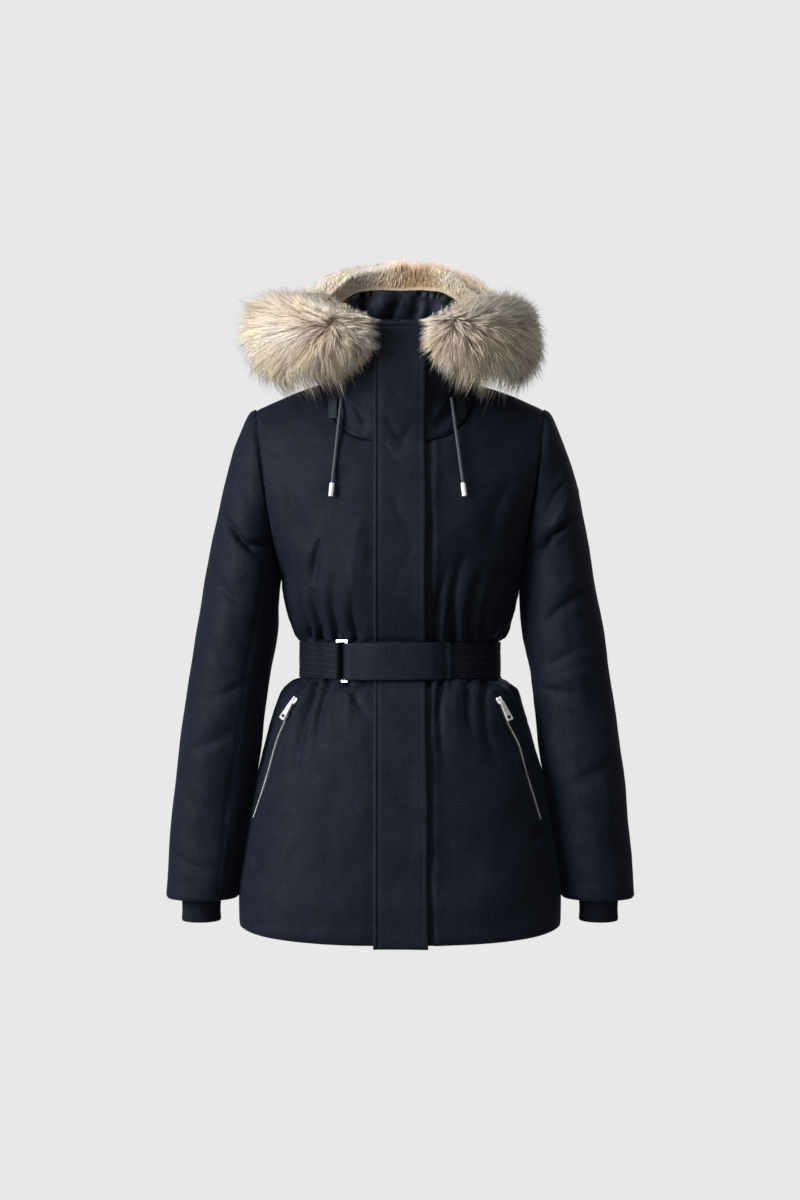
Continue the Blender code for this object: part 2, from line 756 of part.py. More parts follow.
def finish(made, colour, roughness, metallic=1.0):
    move_to(made, parka)
    made.data.materials.append(material(made.name, colour, roughness, metallic))


def buckle(name):
    """A rectangular ring: width along x, depth along y, height along z."""
    middle, out, _ = buckle_axes()
    frame = box(name, (BUCKLE_WIDE, BUCKLE_DEEP, BUCKLE_TALL), 0.0006)
    hole = box(name + "_hole", (BUCKLE_WIDE - 2 * BUCKLE_WIRE, BUCKLE_DEEP * 3,
                                BUCKLE_TALL - 2 * BUCKLE_WIRE))
    cut(frame, hole)
    frame.location = (middle.x, middle.y, (BELT_LOW + BELT_HIGH) / 2)
    frame.rotation_euler = (0, 0, math.atan2(out.y, out.x) + math.pi / 2)
    finish(frame, SILVER, 0.25)


# ---- Pocket zips ------------------------------------------------------------------------------------


def front_at(x, z):
    """Point and normal on the front of the skirt at a distance from the middle."""
    t = (z - TORSO[0].z) / (UNDERARM_Z - TORSO[0].z)
    low, high = 0.0, 1.0
    for _ in range(40):
        s = (low + high) / 2
        if torso_point(s, t, True).x < x:
            low = s
        else:
            high = s
    return torso_point(low, t, True), torso_normal(low, t, True)


def pocket_zip(name, side, sign):
    heights = [mix(POCKET_ZIP[0].z, POCKET_ZIP[-1].z, k / ZIP_PIECES)
               for k in range(ZIP_PIECES + 1)]
    places = [front_at(along(POCKET_ZIP, "z", side, z), z) for z in heights]
    outer, inner = [], []
    for k, (point, normal) in enumerate(places):
        run = places[min(k + 1, ZIP_PIECES)][0] - places[max(k - 1, 0)][0]
        aside = run.cross(normal).normalized() * ZIP_WIDE / 2
        base = point + normal * 3 * GAP
        for grid, lift in ((inner, 0.0), (outer, ZIP_THICK)):
            row = [base + aside * share + normal * lift for share in (-1, 0, 1)]
            grid.append([Vector((sign * p.x, p.y, p.z)) for p in row])
    return wall(name, outer, inner, (0.62, 0.62, 0.60), 0.35, metallic=1.0)


def zip_frame(side, sign):
    """At a slider: its place, and the directions out, down the zip and across."""
    first, second = [front_at(getattr(stop, side), stop.z) for stop in POCKET_ZIP[:2]]
    point, out = first
    down = second[0] - point
    down = (down - out * down.dot(out)).normalized()
    point, out, down = [Vector((sign * v.x, v.y, v.z)) for v in (point, out, down)]
    return point, out, down, out.cross(down)


def place(made, point, across, out, down):
    turn = Matrix((across, out, down)).transposed()
    made.rotation_euler = turn.to_euler()
    made.location = point


def slider(name, side, sign):
    point, out, down, across = zip_frame(side, sign)
    body = box(name, (SLIDER_WIDE, SLIDER_THICK, SLIDER_LONG), 0.0006)
    place(body, point + out * SLIDER_RISE - down * SLIDER_SHIFT, across, out, down)
    finish(body, SILVER, 0.22)


def pull(name, side, sign):
    """A tapered tab with two holes; its origin is on its hinge."""
    point, out, down, across = zip_frame(side, sign)
    outline = bpy.data.curves.new(name, "CURVE")
    outline.dimensions = "2D"
    outline.fill_mode = "BOTH"
    outline.extrude = PULL_THICK / 2
    outline.render_resolution_u = 0
    edge = outline.splines.new("POLY")
    corners = [(-0.0030, -0.0006), (-0.0036, 0.0060), (-0.0056, PULL_LONG - 0.0015),
               (-0.0046, PULL_LONG), (0.0046, PULL_LONG), (0.0056, PULL_LONG - 0.0015),
               (0.0036, 0.0060), (0.0030, -0.0006)]
    edge.points.add(len(corners) - 1)
    for spot, corner in zip(edge.points, corners):
        spot.co = (*corner, 0, 1)
    edge.use_cyclic_u = True
    shape = bpy.data.objects.new(name + "_outline", outline)
    parka.objects.link(shape)
    bpy.context.view_layer.update()
    flat = shape.evaluated_get(bpy.context.evaluated_depsgraph_get())
    mesh = bpy.data.meshes.new_from_object(flat)
    bpy.data.objects.remove(shape)
    welded = bmesh.new()
    welded.from_mesh(mesh)
    bmesh.ops.remove_doubles(welded, verts=welded.verts, dist=0.00001)
    bmesh.ops.transform(welded, verts=welded.verts, matrix=Matrix.Rotation(math.pi / 2, 4, "X"))
    face_out(welded)
    welded.to_mesh(mesh)
    welded.free()
    tab = bpy.data.objects.new(name, mesh)
    bpy.context.scene.collection.objects.link(tab)
    slot = box(name + "_slot", (PULL_SLOT[0], 4 * PULL_THICK, PULL_SLOT[1]))
    slot.location = (0, 0, PULL_LONG - 0.0048)
    bpy.ops.mesh.primitive_cylinder_add(
        radius=PULL_EYE_RADIUS, depth=4 * PULL_THICK, vertices=16)
    eye = bpy.context.object
    eye.name = name + "_eye"
    eye.data.transform(Matrix.Rotation(math.pi / 2, 4, "X"))
    eye.location = (0, 0, PULL_LONG * 0.42)
    cut(tab, slot)
    cut(tab, eye)
    hinge = point + out * (SLIDER_RISE + HINGE_RISE) - down * HINGE_SHIFT
    place(tab, hinge, across, out, down)
    finish(tab, SILVER, 0.22)


# ---- Drawcords ---------------------------------------------------------------------------------------


def neckline_height(x):
    """Height of the front neckline at a distance from the middle."""
    turn = math.asin(min(x / NECK_HALF_WIDTH, 1.0)) / (math.pi / 2)
    return neckline(turn, True)[1]


def chest_at(x, z):
    return chest_point(x, rise_at(x, z), True)


def upper_front(x, z):
    """Point and normal on the hood or, below the neck seam, on the chest."""
    if z <= neckline_height(x):
        return chest_at(x, z), facing(chest_at, x, z, 0.002)
    low, high = 0.0, 3.0
    for _ in range(30):
        step = (low + high) / 2
        turn = share_at_x(lambda a: hood_point(a, step), x)
        if hood_point(turn, step).z < z:
            low = step
        else:
            high = step
    return hood_point(turn, step), hood_normal(turn, step)


def hang(points):
    """Draws a run of points taut over what stands out, so that it bridges hollows."""
    for _ in range(40):
        for before, here, after in zip(points, points[1:], points[2:]):
            here.y = min(here.y, (before.y + after.y) / 2)
    return points


def cord_points(which):
    """The cord's middle line: out from under the fur, over the neck seam, down the chest."""
    cord = DRAWCORDS[which]
    sign = -1 if which == "right" else 1
    points = []
    for k in range(CORD_PIECES + 1):
        share = k / CORD_PIECES
        x, z = mix(cord.top_x, cord.low_x, share), mix(cord.top_z, cord.low_z, share)
        skin, normal = upper_front(x, z)
        lift = normal * (CORD_WIDE / 2 + CORD_LIFT)
        points.append(Vector((sign * x, skin.y + lift.y, z + lift.z)))
    return hang(points)


def drawcord(name, which):
    route = cord_points(which)
    line = bpy.data.curves.new(name, "CURVE")
    line.dimensions = "3D"
    line.bevel_depth = CORD_WIDE / 2
    line.bevel_resolution = 2
    line.use_fill_caps = True
    line.render_resolution_u = 0
    run = line.splines.new("POLY")
    run.points.add(len(route) - 1)
    for spot, point in zip(run.points, route):
        spot.co = (*point, 1)
    made = bpy.data.objects.new(name, line)
    parka.objects.link(made)
    line.materials.append(material(name, (0.02, 0.026, 0.04), 0.6))
    return made


def cord_end(name, which):
    route = cord_points(which)
    run = (route[-1] - route[-2]).normalized()
    bpy.ops.mesh.primitive_cylinder_add(radius=CORD_END_WIDE / 2, depth=CORD_END_LONG, vertices=24)
    made = bpy.context.object
    made.name = name
    rounded = made.modifiers.new("edges", "BEVEL")
    rounded.width = 0.0006
    rounded.segments = 2
    out = Vector((0, -1, 0))
    made.rotation_euler = run.to_track_quat("Z", "Y").to_euler()
    lift = out * (CORD_END_WIDE - CORD_WIDE) / 2
    made.location = route[-1] + run * (GAP + CORD_END_LONG / 2) + lift
    finish(made, SILVER, 0.2)


def cord_tab(name, which):
    tab = TABS[which]
    sign = -1 if which == "right" else 1
    columns = []
    for c in range(5):
        x = mix(tab.near_x, tab.far_x, c / 4)
        column = []
        for r in range(6):
            z = mix(tab.low_z, tab.high_z, r / 5)
            skin, normal = upper_front(x, z)
            column.append(Vector((sign * x, skin.y + normal.y * TAB_LIFT, z)))
        columns.append(hang(column))
    inner = [list(row) for row in zip(*columns)]
    outer = [[p + Vector((0, -TAB_THICK, 0)) for p in row] for row in inner]
    return wall(name, outer, inner, (0.016, 0.021, 0.028), 0.7)


# ---- The parka ------------------------------------------------------------------------------------------

for old in list(bpy.data.objects):
    bpy.data.objects.remove(old)
parka = bpy.data.collections.new("fur_trimmed_parka")
cutters = bpy.data.collections.new("cutters")
for collection in (parka, cutters):
    bpy.context.scene.collection.children.link(collection)

panel("front_right", (-1,), True)
panel("front_left", (1,), True)
panel("back", (-1, 1), False)
for side, sign in (("right", -1), ("left", 1)):
    sleeve("sleeve_" + side, sign)
    cuff("cuff_" + side, sign)
    pocket_zip("pocket_zip_" + side, side, sign)
    slider("slider_" + side, side, sign)
    pull("pull_" + side, side, sign)
    cord_tab("cord_tab_" + side, side)
    drawcord("drawcord_" + side, side)
    cord_end("cord_end_" + side, side)
hood_layer("hood_shell", 0.0, HOOD_WALL, NAVY, 0.75, RIM)
hood_layer("hood_lining", HOOD_WALL + GAP, LINING_WALL, (0.02, 0.022, 0.03), 0.35, RIM)
fur_trim("fur_trim")
storm_flap("storm_flap")
belt("belt")
buckle("buckle")
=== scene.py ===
"""Looks of the fur trimmed parka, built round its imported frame.

Metres, +Z up, front towards -Y, the wearer's left on +X, origin between the shoulders.
Every cloth piece is a fine shell on the form that its CAD solid has.
"""
import math
from collections import namedtuple

import bmesh
import bpy
import numpy as np
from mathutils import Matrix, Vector


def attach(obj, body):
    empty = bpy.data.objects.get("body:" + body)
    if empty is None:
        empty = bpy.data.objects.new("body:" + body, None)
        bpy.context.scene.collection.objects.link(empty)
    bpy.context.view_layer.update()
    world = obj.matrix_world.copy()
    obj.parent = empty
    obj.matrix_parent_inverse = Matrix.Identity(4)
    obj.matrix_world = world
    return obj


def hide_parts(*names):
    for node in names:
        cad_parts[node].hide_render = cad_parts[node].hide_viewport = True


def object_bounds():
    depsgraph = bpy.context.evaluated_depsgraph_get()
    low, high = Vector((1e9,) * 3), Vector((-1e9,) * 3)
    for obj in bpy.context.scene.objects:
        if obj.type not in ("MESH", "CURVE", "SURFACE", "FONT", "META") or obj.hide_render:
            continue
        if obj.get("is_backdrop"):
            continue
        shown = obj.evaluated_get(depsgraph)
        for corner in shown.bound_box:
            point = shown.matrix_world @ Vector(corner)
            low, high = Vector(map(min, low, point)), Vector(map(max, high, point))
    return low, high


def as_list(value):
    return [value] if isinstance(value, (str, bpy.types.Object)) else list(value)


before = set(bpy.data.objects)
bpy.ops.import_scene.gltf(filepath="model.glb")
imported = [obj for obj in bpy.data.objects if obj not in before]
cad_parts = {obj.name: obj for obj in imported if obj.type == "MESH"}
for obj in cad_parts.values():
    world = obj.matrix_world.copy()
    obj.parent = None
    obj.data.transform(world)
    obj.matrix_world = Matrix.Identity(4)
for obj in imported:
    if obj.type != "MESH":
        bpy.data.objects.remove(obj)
cad_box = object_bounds()

# ---- Camera, first, because the cords are judged by its view ----
CAMERA_Y, CAMERA_Z = -3.0, -0.27
VIEW_HALF_HEIGHT = 0.81            # of the plane y = 0 that the frame shows


def make_camera():
    data = bpy.data.cameras.new("camera")
    data.sensor_fit = "VERTICAL"
    data.angle = 2 * math.atan(VIEW_HALF_HEIGHT / -CAMERA_Y)
    camera = bpy.data.objects.new("camera", data)
    camera.location = (0, CAMERA_Y, CAMERA_Z)
    camera.rotation_euler = (math.pi / 2, 0, 0)
    bpy.context.scene.collection.objects.link(camera)
    bpy.context.scene.camera = camera


make_camera()

# ---- Sizes that the CAD solids share ----
UNDERARM_X, UNDERARM_Z = 0.160, -0.235
SHOULDER_X = 0.194
ARMHOLE_POWER = 0.8
NECK_HALF_WIDTH = 0.098
NECK_FRONT_Z, NECK_SIDE_Z, NECK_BACK_Z = -0.064, 0.0241, 0.022
DOME_POWER, CHEST_POWER = 2.3, 2.4
ARMHOLE_REACH = 0.66
ARMHOLE_BLEND = 4
BODY_WALL, HOOD_WALL, LINING_WALL, CUFF_WALL, FLAP_WALL = 0.005, 0.0025, 0.002, 0.003, 0.004
GAP = 0.0003
FLAP_RIGHT_EDGE, FLAP_LEFT_EDGE = -0.0345, 0.0335
FLAP_DROP = 0.0035
BELT_LOW, BELT_HIGH = -0.3745, -0.3255
WAIST_Z, BELT_HALF = (BELT_LOW + BELT_HIGH) / 2, (BELT_HIGH - BELT_LOW) / 2
GATHER_REACH = 0.042               # from the belt's middle, within which a fold is a gather
BELT_THICK, BELT_BODY_GAP = 0.0022, 0.0008
BUCKLE_X = -0.0740
BUCKLE_WIDE, BUCKLE_WIRE, BUCKLE_RISE = 0.0172, 0.0032, 0.0048
STRAP_END_X = 0.0650
CORD_WIDE, CORD_LIFT, CORD_PIECES = 0.0038, 0.0020, 24
TAB_LIFT, TAB_THICK = 0.0018, 0.0020
SLIDER_RISE, SLIDER_SHIFT = 0.0036, 0.0055
NECK_SHARE = 0.6

Section = namedtuple("Section", "z half_width front back power")
TORSO = [
    Section(-0.7140, 0.2130, 0.1540, 0.1430, 2.80),
    Section(-0.7040, 0.2140, 0.1550, 0.1440, 2.80),
    Section(-0.6680, 0.2145, 0.1550, 0.1440, 2.75),
    Section(-0.6210, 0.2090, 0.1510, 0.1420, 2.70),
    Section(-0.5670, 0.2015, 0.1465, 0.1390, 2.60),
    Section(-0.5130, 0.1925, 0.1410, 0.1350, 2.55),
    Section(-0.4660, 0.1815, 0.1345, 0.1295, 2.45),
    Section(-0.4320, 0.1720, 0.1280, 0.1235, 2.38),
    Section(-0.4050, 0.1640, 0.1210, 0.1160, 2.32),
    Section(-0.3900, 0.1565, 0.1145, 0.1090, 2.26),
    Section(-0.3835, 0.1490, 0.1090, 0.1035, 2.22),
    Section(-0.3770, 0.1335, 0.1005, 0.0960, 2.20),
    Section(-0.3230, 0.1325, 0.1000, 0.0950, 2.20),
    Section(-0.3165, 0.1405, 0.1065, 0.1010, 2.22),
    Section(-0.3060, 0.1468, 0.1120, 0.1060, 2.26),
    Section(-0.2880, 0.1530, 0.1190, 0.1115, 2.30),
    Section(-0.2600, 0.1585, 0.1270, 0.1180, 2.35),
    Section(UNDERARM_Z, UNDERARM_X, 0.1300, 0.1200, CHEST_POWER),
]
HEM_Z = TORSO[0].z

Chest = namedtuple("Chest", "rise front back")
CHEST = [
    Chest(0.00, 0.1300, 0.1200),
    Chest(0.35, 0.1310, 0.1230),
    Chest(0.70, 0.1260, 0.1220),
    Chest(1.00, 0.1220, 0.1200),
]

Ring = namedtuple("Ring", "step outer_x outer_z inner_x inner_z deep y")
SLEEVE = [
    Ring(0, 0.1943, -0.0140, 0.1603, -0.2350, 0.0650, 0.000),
    Ring(0.5, 0.2010, -0.0190, 0.1604, -0.2395, 0.0665, 0.000),
    Ring(1, 0.2080, -0.0300, 0.1606, -0.2440, 0.0680, 0.000),
    Ring(2, 0.2275, -0.0790, 0.1607, -0.2540, 0.0705, -0.001),
    Ring(3, 0.2395, -0.1230, 0.1609, -0.2680, 0.0715, -0.003),
    Ring(4, 0.2500, -0.1750, 0.1618, -0.2900, 0.0715, -0.006),
    Ring(5, 0.2612, -0.2400, 0.1655, -0.3240, 0.0705, -0.010),
    Ring(6, 0.2730, -0.3120, 0.1735, -0.3660, 0.0685, -0.014),
    Ring(7, 0.2850, -0.3920, 0.1810, -0.4200, 0.0655, -0.018),
    Ring(8, 0.2955, -0.4670, 0.1890, -0.4790, 0.0625, -0.021),
    Ring(9, 0.3035, -0.5400, 0.2000, -0.5430, 0.0590, -0.023),
    Ring(10, 0.3088, -0.6080, 0.2095, -0.6090, 0.0560, -0.025),
    Ring(11, 0.3134, -0.6665, 0.2168, -0.6665, 0.0530, -0.026),
]
SLEEVE_END = SLEEVE[-1].step

Rib = namedtuple("Rib", "z half_width half_deep")
CUFF = [
    Rib(-0.6350, 0.0385, 0.0440),
    Rib(-0.6480, 0.0330, 0.0390),
    Rib(-0.6600, 0.0285, 0.0345),
    Rib(-0.6700, 0.0262, 0.0322),
    Rib(-0.6840, 0.0255, 0.0315),
    Rib(-0.6975, 0.0265, 0.0325),
]
CUFF_MIDDLE = (0.2657, -0.026)

Hoop = namedtuple("Hoop", "step front_y front_z side_x side_y side_z back_y back_z")
HOOD = [
    Hoop(0, -0.1040, -0.0640, 0.0980, 0.0000, 0.0241, 0.0560, 0.0220),
    Hoop(1, -0.1095, -0.0300, 0.1040, -0.0080, 0.0440, 0.0950, -0.0020),
    Hoop(2, -0.1140, 0.0050, 0.1170, -0.0100, 0.0540, 0.1380, -0.0560),
    Hoop(3, -0.1170, 0.0350, 0.1280, -0.0110, 0.0640, 0.1880, -0.0650),
    Hoop(4, -0.1190, 0.0620, 0.1330, -0.0110, 0.0740, 0.2120, -0.0050),
    Hoop(5, -0.1200, 0.0800, 0.1335, -0.0100, 0.0810, 0.1920, 0.0800),
    Hoop(6, -0.1205, 0.0935, 0.1310, -0.0100, 0.0900, 0.1340, 0.1660),
]
RIM = HOOD[-1].step
RIM_LIFT = 0.009
HOOP_POWER = 0.85

# The hair's reach, within the CAD solid's: less above the front ends, and less on +X.
Fur = namedtuple("Fur", "turn out up down")
FUR_RIGHT = [
    Fur(0.08, 0.050, -0.002, 0.070),
    Fur(0.12, 0.058, 0.012, 0.080),
    Fur(0.17, 0.064, 0.023, 0.086),
    Fur(0.25, 0.078, 0.040, 0.092),
    Fur(0.40, 0.082, 0.048, 0.088),
    Fur(0.50, 0.080, 0.050, 0.084),
    Fur(0.65, 0.068, 0.038, 0.074),
    Fur(0.80, 0.052, 0.024, 0.060),
    Fur(0.92, 0.048, 0.026, 0.057),
    Fur(1.00, 0.046, 0.037, 0.055),
]
FUR_LEFT = [
    Fur(0.08, 0.048, -0.002, 0.070),
    Fur(0.12, 0.054, 0.012, 0.078),
    Fur(0.17, 0.058, 0.024, 0.084),
    Fur(0.25, 0.062, 0.040, 0.088),
    Fur(0.40, 0.056, 0.048, 0.084),
    Fur(0.50, 0.054, 0.050, 0.082),
    Fur(0.65, 0.052, 0.042, 0.072),
    Fur(0.80, 0.048, 0.027, 0.060),
    Fur(0.92, 0.047, 0.030, 0.057),
    Fur(1.00, 0.046, 0.037, 0.055),
]
FUR_FRONT_X = 0.0395

Stop = namedtuple("Stop", "z right left")
POCKET_ZIP = [
    Stop(-0.4080, 0.1395, 0.1310),
    Stop(-0.4330, 0.1525, 0.1415),
    Stop(-0.4610, 0.1635, 0.1555),
    Stop(-0.4950, 0.1725, 0.1645),
    Stop(-0.5290, 0.1830, 0.1750),
    Stop(-0.5600, 0.1930, 0.1840),
]

Drawcord = namedtuple("Drawcord", "top_x top_z low_x low_z")
DRAWCORDS = {
    "right": Drawcord(0.0770, -0.0070, 0.0880, -0.1190),
    "left": Drawcord(0.0670, -0.0050, 0.0815, -0.1190),
}
Tab = namedtuple("Tab", "near_x far_x low_z high_z")
TABS = {
    "right": Tab(0.0826, 0.0945, -0.0320, -0.0040),
    "left": Tab(0.0736, 0.0862, -0.0335, -0.0050),
}

# ---- Folds ----
# Each runs from (x0, z0) to (x1, z1) as seen from the front or, on hidden sides, from
# behind, in millimetres here. width is its half width, depth how far its middle sinks (or
# stands out, if negative) and roll how far one side of it stands above the other, in tenths
# of a millimetre here.
Fold = namedtuple("Fold", "x0 z0 x1 z1 width depth roll", defaults=(0.0,))


def folds(*rows):
    return [Fold(*(v / 1000 for v in row[:4]), *(v / 10000 for v in row[4:])) for row in rows]


FRONT_RIGHT_FOLDS = folds(
    (-105, -190, -116, -252, 72, 69, 34),
    (-116, -244, -101, -332, 72, 174, 81),
    (-140, -220, -117, -328, 68, 147, 69),
    (-84, -232, -79, -332, 64, 113, -58),
    (-60, -250, -57, -330, 51, 86, 45),
    (-97, -215, -88, -322, 68, -38),
    (-129, -235, -111, -318, 59, -38),
    (-70, -240, -68, -322, 51, -26),
    (-50, -160, -56, -290, 144, -29),
    (-150, -110, -118, -210, 162, 37, 23),
    (-60, -90, -100, -150, 216, 25, 15),
    (-112, -366, -146, -403, 47, 175, 69),
    (-106, -370, -134, -525, 72, 144, -77),
    (-93, -370, -107, -479, 64, 108, 49),
    (-74, -368, -31, -433, 59, 108, 45),
    (-60, -372, -63, -462, 51, -29),
    (-83, -372, -91, -462, 59, -34),
    (-118, -385, -152, -486, 68, -27),
    (-203, -585, -186, -625, 108, 72, 32),
    (-160, -560, -110, -690, 288, -17),
    (-70, -470, -90, -690, 270, 15),
)
FRONT_LEFT_FOLDS = folds(
    (66, -215, 45, -326, 68, 137, 71),
    (91, -195, 70, -330, 72, 144, -71),
    (113, -214, 90, -328, 68, 132, 66),
    (134, -230, 112, -322, 64, 111, -58),
    (79, -205, 56, -320, 64, -38),
    (102, -212, 80, -320, 59, -32),
    (124, -225, 102, -320, 55, -30),
    (150, -110, 116, -205, 162, 37, -23),
    (55, -95, 95, -165, 216, 25, -15),
    (43, -368, 43, -495, 43, -51),
    (54, -366, 60, -496, 59, 132, 53),
    (90, -366, 96, -457, 55, 119, 58),
    (112, -368, 131, -495, 68, 123, -58),
    (74, -370, 83, -479, 64, -34),
    (104, -370, 116, -463, 55, -27),
    (174, -588, 190, -570, 90, 64, 25),
    (140, -520, 110, -690, 288, -17),
    (70, -500, 85, -690, 270, 15),
)
BACK_FOLDS = folds(
    (-122, -205, -104, -330, 72, 142, 60),
    (-94, -232, -80, -330, 64, 120, -56),
    (-66, -190, -58, -330, 72, 120, 48),
    (-36, -238, -34, -330, 59, 109),
    (-10, -205, -7, -330, 68, 132, 56),
    (22, -243, 21, -330, 59, 109, -45),
    (53, -195, 47, -330, 72, 120, 56),
    (86, -232, 74, -330, 64, 120),
    (120, -212, 101, -330, 72, 137, -60),
    (-108, -225, -92, -322, 59, -33),
    (-22, -225, -20, -322, 59, -33),
    (70, -225, 61, -322, 59, -33),
    (-100, -368, -126, -460, 72, 132, 56),
    (-68, -368, -78, -480, 76, 120, -56),
    (-30, -368, -34, -445, 64, 109),
    (10, -368, 12, -490, 76, 120, 56),
    (50, -368, 56, -450, 68, 116),
    (92, -368, 114, -470, 76, 132, -56),
    (-84, -372, -96, -440, 59, -29),
    (30, -372, 34, -440, 59, -29),
    (-130, -80, -70, -180, 189, 48, 23),
    (135, -75, 75, -190, 189, 48, -23),
    (-150, -560, -80, -700, 306, -48),
    (130, -540, 90, -700, 306, -48),
    (0, -530, 10, -705, 306, 43),
)
SLEEVE_RIGHT_FOLDS = folds(
    (-243, -152, -172, -221, 64, 145, 76),
    (-222, -186, -168, -196, 52, 94, -47),
    (-224, -170, -184, -200, 56, -21),
    (-244, -248, -188, -284, 96, 54, 29),
    (-254, -215, -205, -250, 96, -21),
    (-268, -322, -200, -374, 104, 51, 26),
    (-262, -300, -215, -330, 96, -19),
    (-280, -400, -215, -384, 88, 42, -22),
    (-288, -470, -210, -438, 104, 46, 22),
    (-295, -520, -225, -560, 120, 36, 18),
    (-262, -430, -240, -520, 120, -16),
    (-226, -72, -192, -150, 128, 30, 18),
    (-306, -600, -235, -628, 104, 31, -16),
)
SLEEVE_LEFT_FOLDS = folds(
    (243, -118, 200, -192, 68, -85, 44),
    (238, -160, 176, -216, 64, 121, -61),
    (220, -196, 168, -206, 56, 40, 21),
    (234, -98, 190, -158, 68, 37, 16),
    (254, -255, 184, -304, 104, 52, 24),
    (258, -232, 205, -262, 88, -20),
    (272, -328, 206, -352, 96, 42, -22),
    (282, -415, 200, -388, 96, 45, 21),
    (274, -372, 225, -372, 88, -18),
    (298, -480, 228, -512, 112, 35, 16),
    (304, -568, 232, -545, 112, 30, -15),
    (228, -80, 194, -150, 128, 24, -15),
)
SLEEVE_BACK_FOLDS = folds(
    (238, -146, 178, -208, 85, 56, 26),
    (254, -212, 190, -254, 85, 47, -23),
    (266, -288, 196, -322, 93, 53, 24),
    (276, -345, 200, -350, 85, 47, -23),
    (284, -402, 208, -382, 93, 43, 20),
    (270, -316, 215, -336, 76, -28),
    (296, -480, 226, -514, 119, 35, 17),
    (304, -570, 236, -600, 119, 31),
)
FLAP_FOLDS = folds(
    (-20, -26, 8, -72, 60, 25, 11),
    (-24, -60, 14, -106, 62, 23, -9),
    (20, -36, -4, -88, 68, 18),
    (-16, 10, 12, -20, 80, 14, 6),
    (-14, -118, 12, -182, 90, 15, 7),
    (14, -205, -8, -272, 100, 9),
    (-22, -292, 16, -322, 80, 11, 5),
    (-18, -386, 14, -424, 85, 11),
    (-12, -495, 16, -548, 110, 8, 4),
    (12, -605, -14, -664, 110, 8),
)
HOOD_FOLDS = folds(
    (-88, -12, -46, -54, 65, 63, 32),
    (-76, -46, -40, -36, 55, 50, -25),
    (-58, -12, -44, -46, 65, 37, 18),
    (-66, -18, -46, -44, 60, -32),
    (86, -12, 46, -50, 65, 57, -28),
    (66, -40, 40, -32, 55, 42, 20),
    (60, -10, 44, -40, 60, -30),
)

# ---- Curves through the tables, on whole arrays ----


def along(rows, key, name, at):
    """A column of a table at many places, on a smooth curve with no overshoot."""
    xs = np.array([getattr(row, key) for row in rows], float)
    ys = np.array([getattr(row, name) for row in rows], float)
    if xs[0] > xs[-1]:
        xs, ys = xs[::-1], ys[::-1]
    at = np.clip(np.asarray(at, float), xs[0], xs[-1])
    k = np.clip(np.searchsorted(xs, at, side="right") - 1, 0, len(xs) - 2)
    step = np.diff(xs)
    rise = np.diff(ys) / step
    product = rise[:-1] * rise[1:]
    total = np.where(product > 0, rise[:-1] + rise[1:], 1.0)
    inner = np.where(product > 0, 2 * product / total, 0.0)
    slope = np.concatenate(([rise[0]], inner, [rise[-1]]))
    h = step[k]
    t = (at - xs[k]) / h
    return ((1 + 2 * t) * (1 - t) ** 2 * ys[k] + t * (1 - t) ** 2 * h * slope[k]
            + t * t * (3 - 2 * t) * ys[k + 1] + t * t * (t - 1) * h * slope[k + 1])


def ease(at, low, high):
    t = np.clip((np.asarray(at, float) - low) / (high - low), 0.0, 1.0)
    return t * t * (3 - 2 * t)


def mix(a, b, t):
    return a + (b - a) * t


def near(x, middle, width):
    """1 where x is at the middle, fading on both sides of it."""
    return np.exp(-((x - middle) / width) ** 2)


def quarter(share, power):
    return np.maximum(1 - np.minimum(np.abs(share), 1.0) ** power, 0.0) ** (1 / power)


def stack(x, y, z):
    return np.stack(np.broadcast_arrays(x, y, z), axis=-1)


# ---- The forms: torso, sleeve, hood, fur ----


def shoulder_height(x):
    return 0.045 - 0.125 * x - 0.9 * x * x


def armhole_x(rise):
    return mix(UNDERARM_X, SHOULDER_X, np.clip(rise, 0, 1) ** ARMHOLE_POWER)


def chest_point(x, rise, front):
    rise = np.clip(rise, 0, 1)
    depth = along(CHEST, "rise", "front" if front else "back", rise)
    reach = ARMHOLE_REACH * np.sqrt(np.maximum(1 - (1 - rise) ** 2, 0.0))
    half_width = armhole_x(rise) / quarter(reach, CHEST_POWER)
    y = depth * quarter(x / half_width, CHEST_POWER) * quarter(rise, DOME_POWER)
    z = UNDERARM_Z + (shoulder_height(x) - UNDERARM_Z) * rise
    return stack(x, -y if front else y, z)


def neckline(turn, front):
    angle = turn * math.pi / 2
    x = NECK_HALF_WIDTH * np.sin(angle)
    if front:
        return x, mix(NECK_FRONT_Z, NECK_SIDE_Z, (1 - np.cos(angle)) ** 1.6)
    return x, mix(NECK_BACK_Z, NECK_SIDE_Z, np.sin(angle) ** 2)


def rise_at(x, z):
    return (z - UNDERARM_Z) / (shoulder_height(x) - UNDERARM_Z)


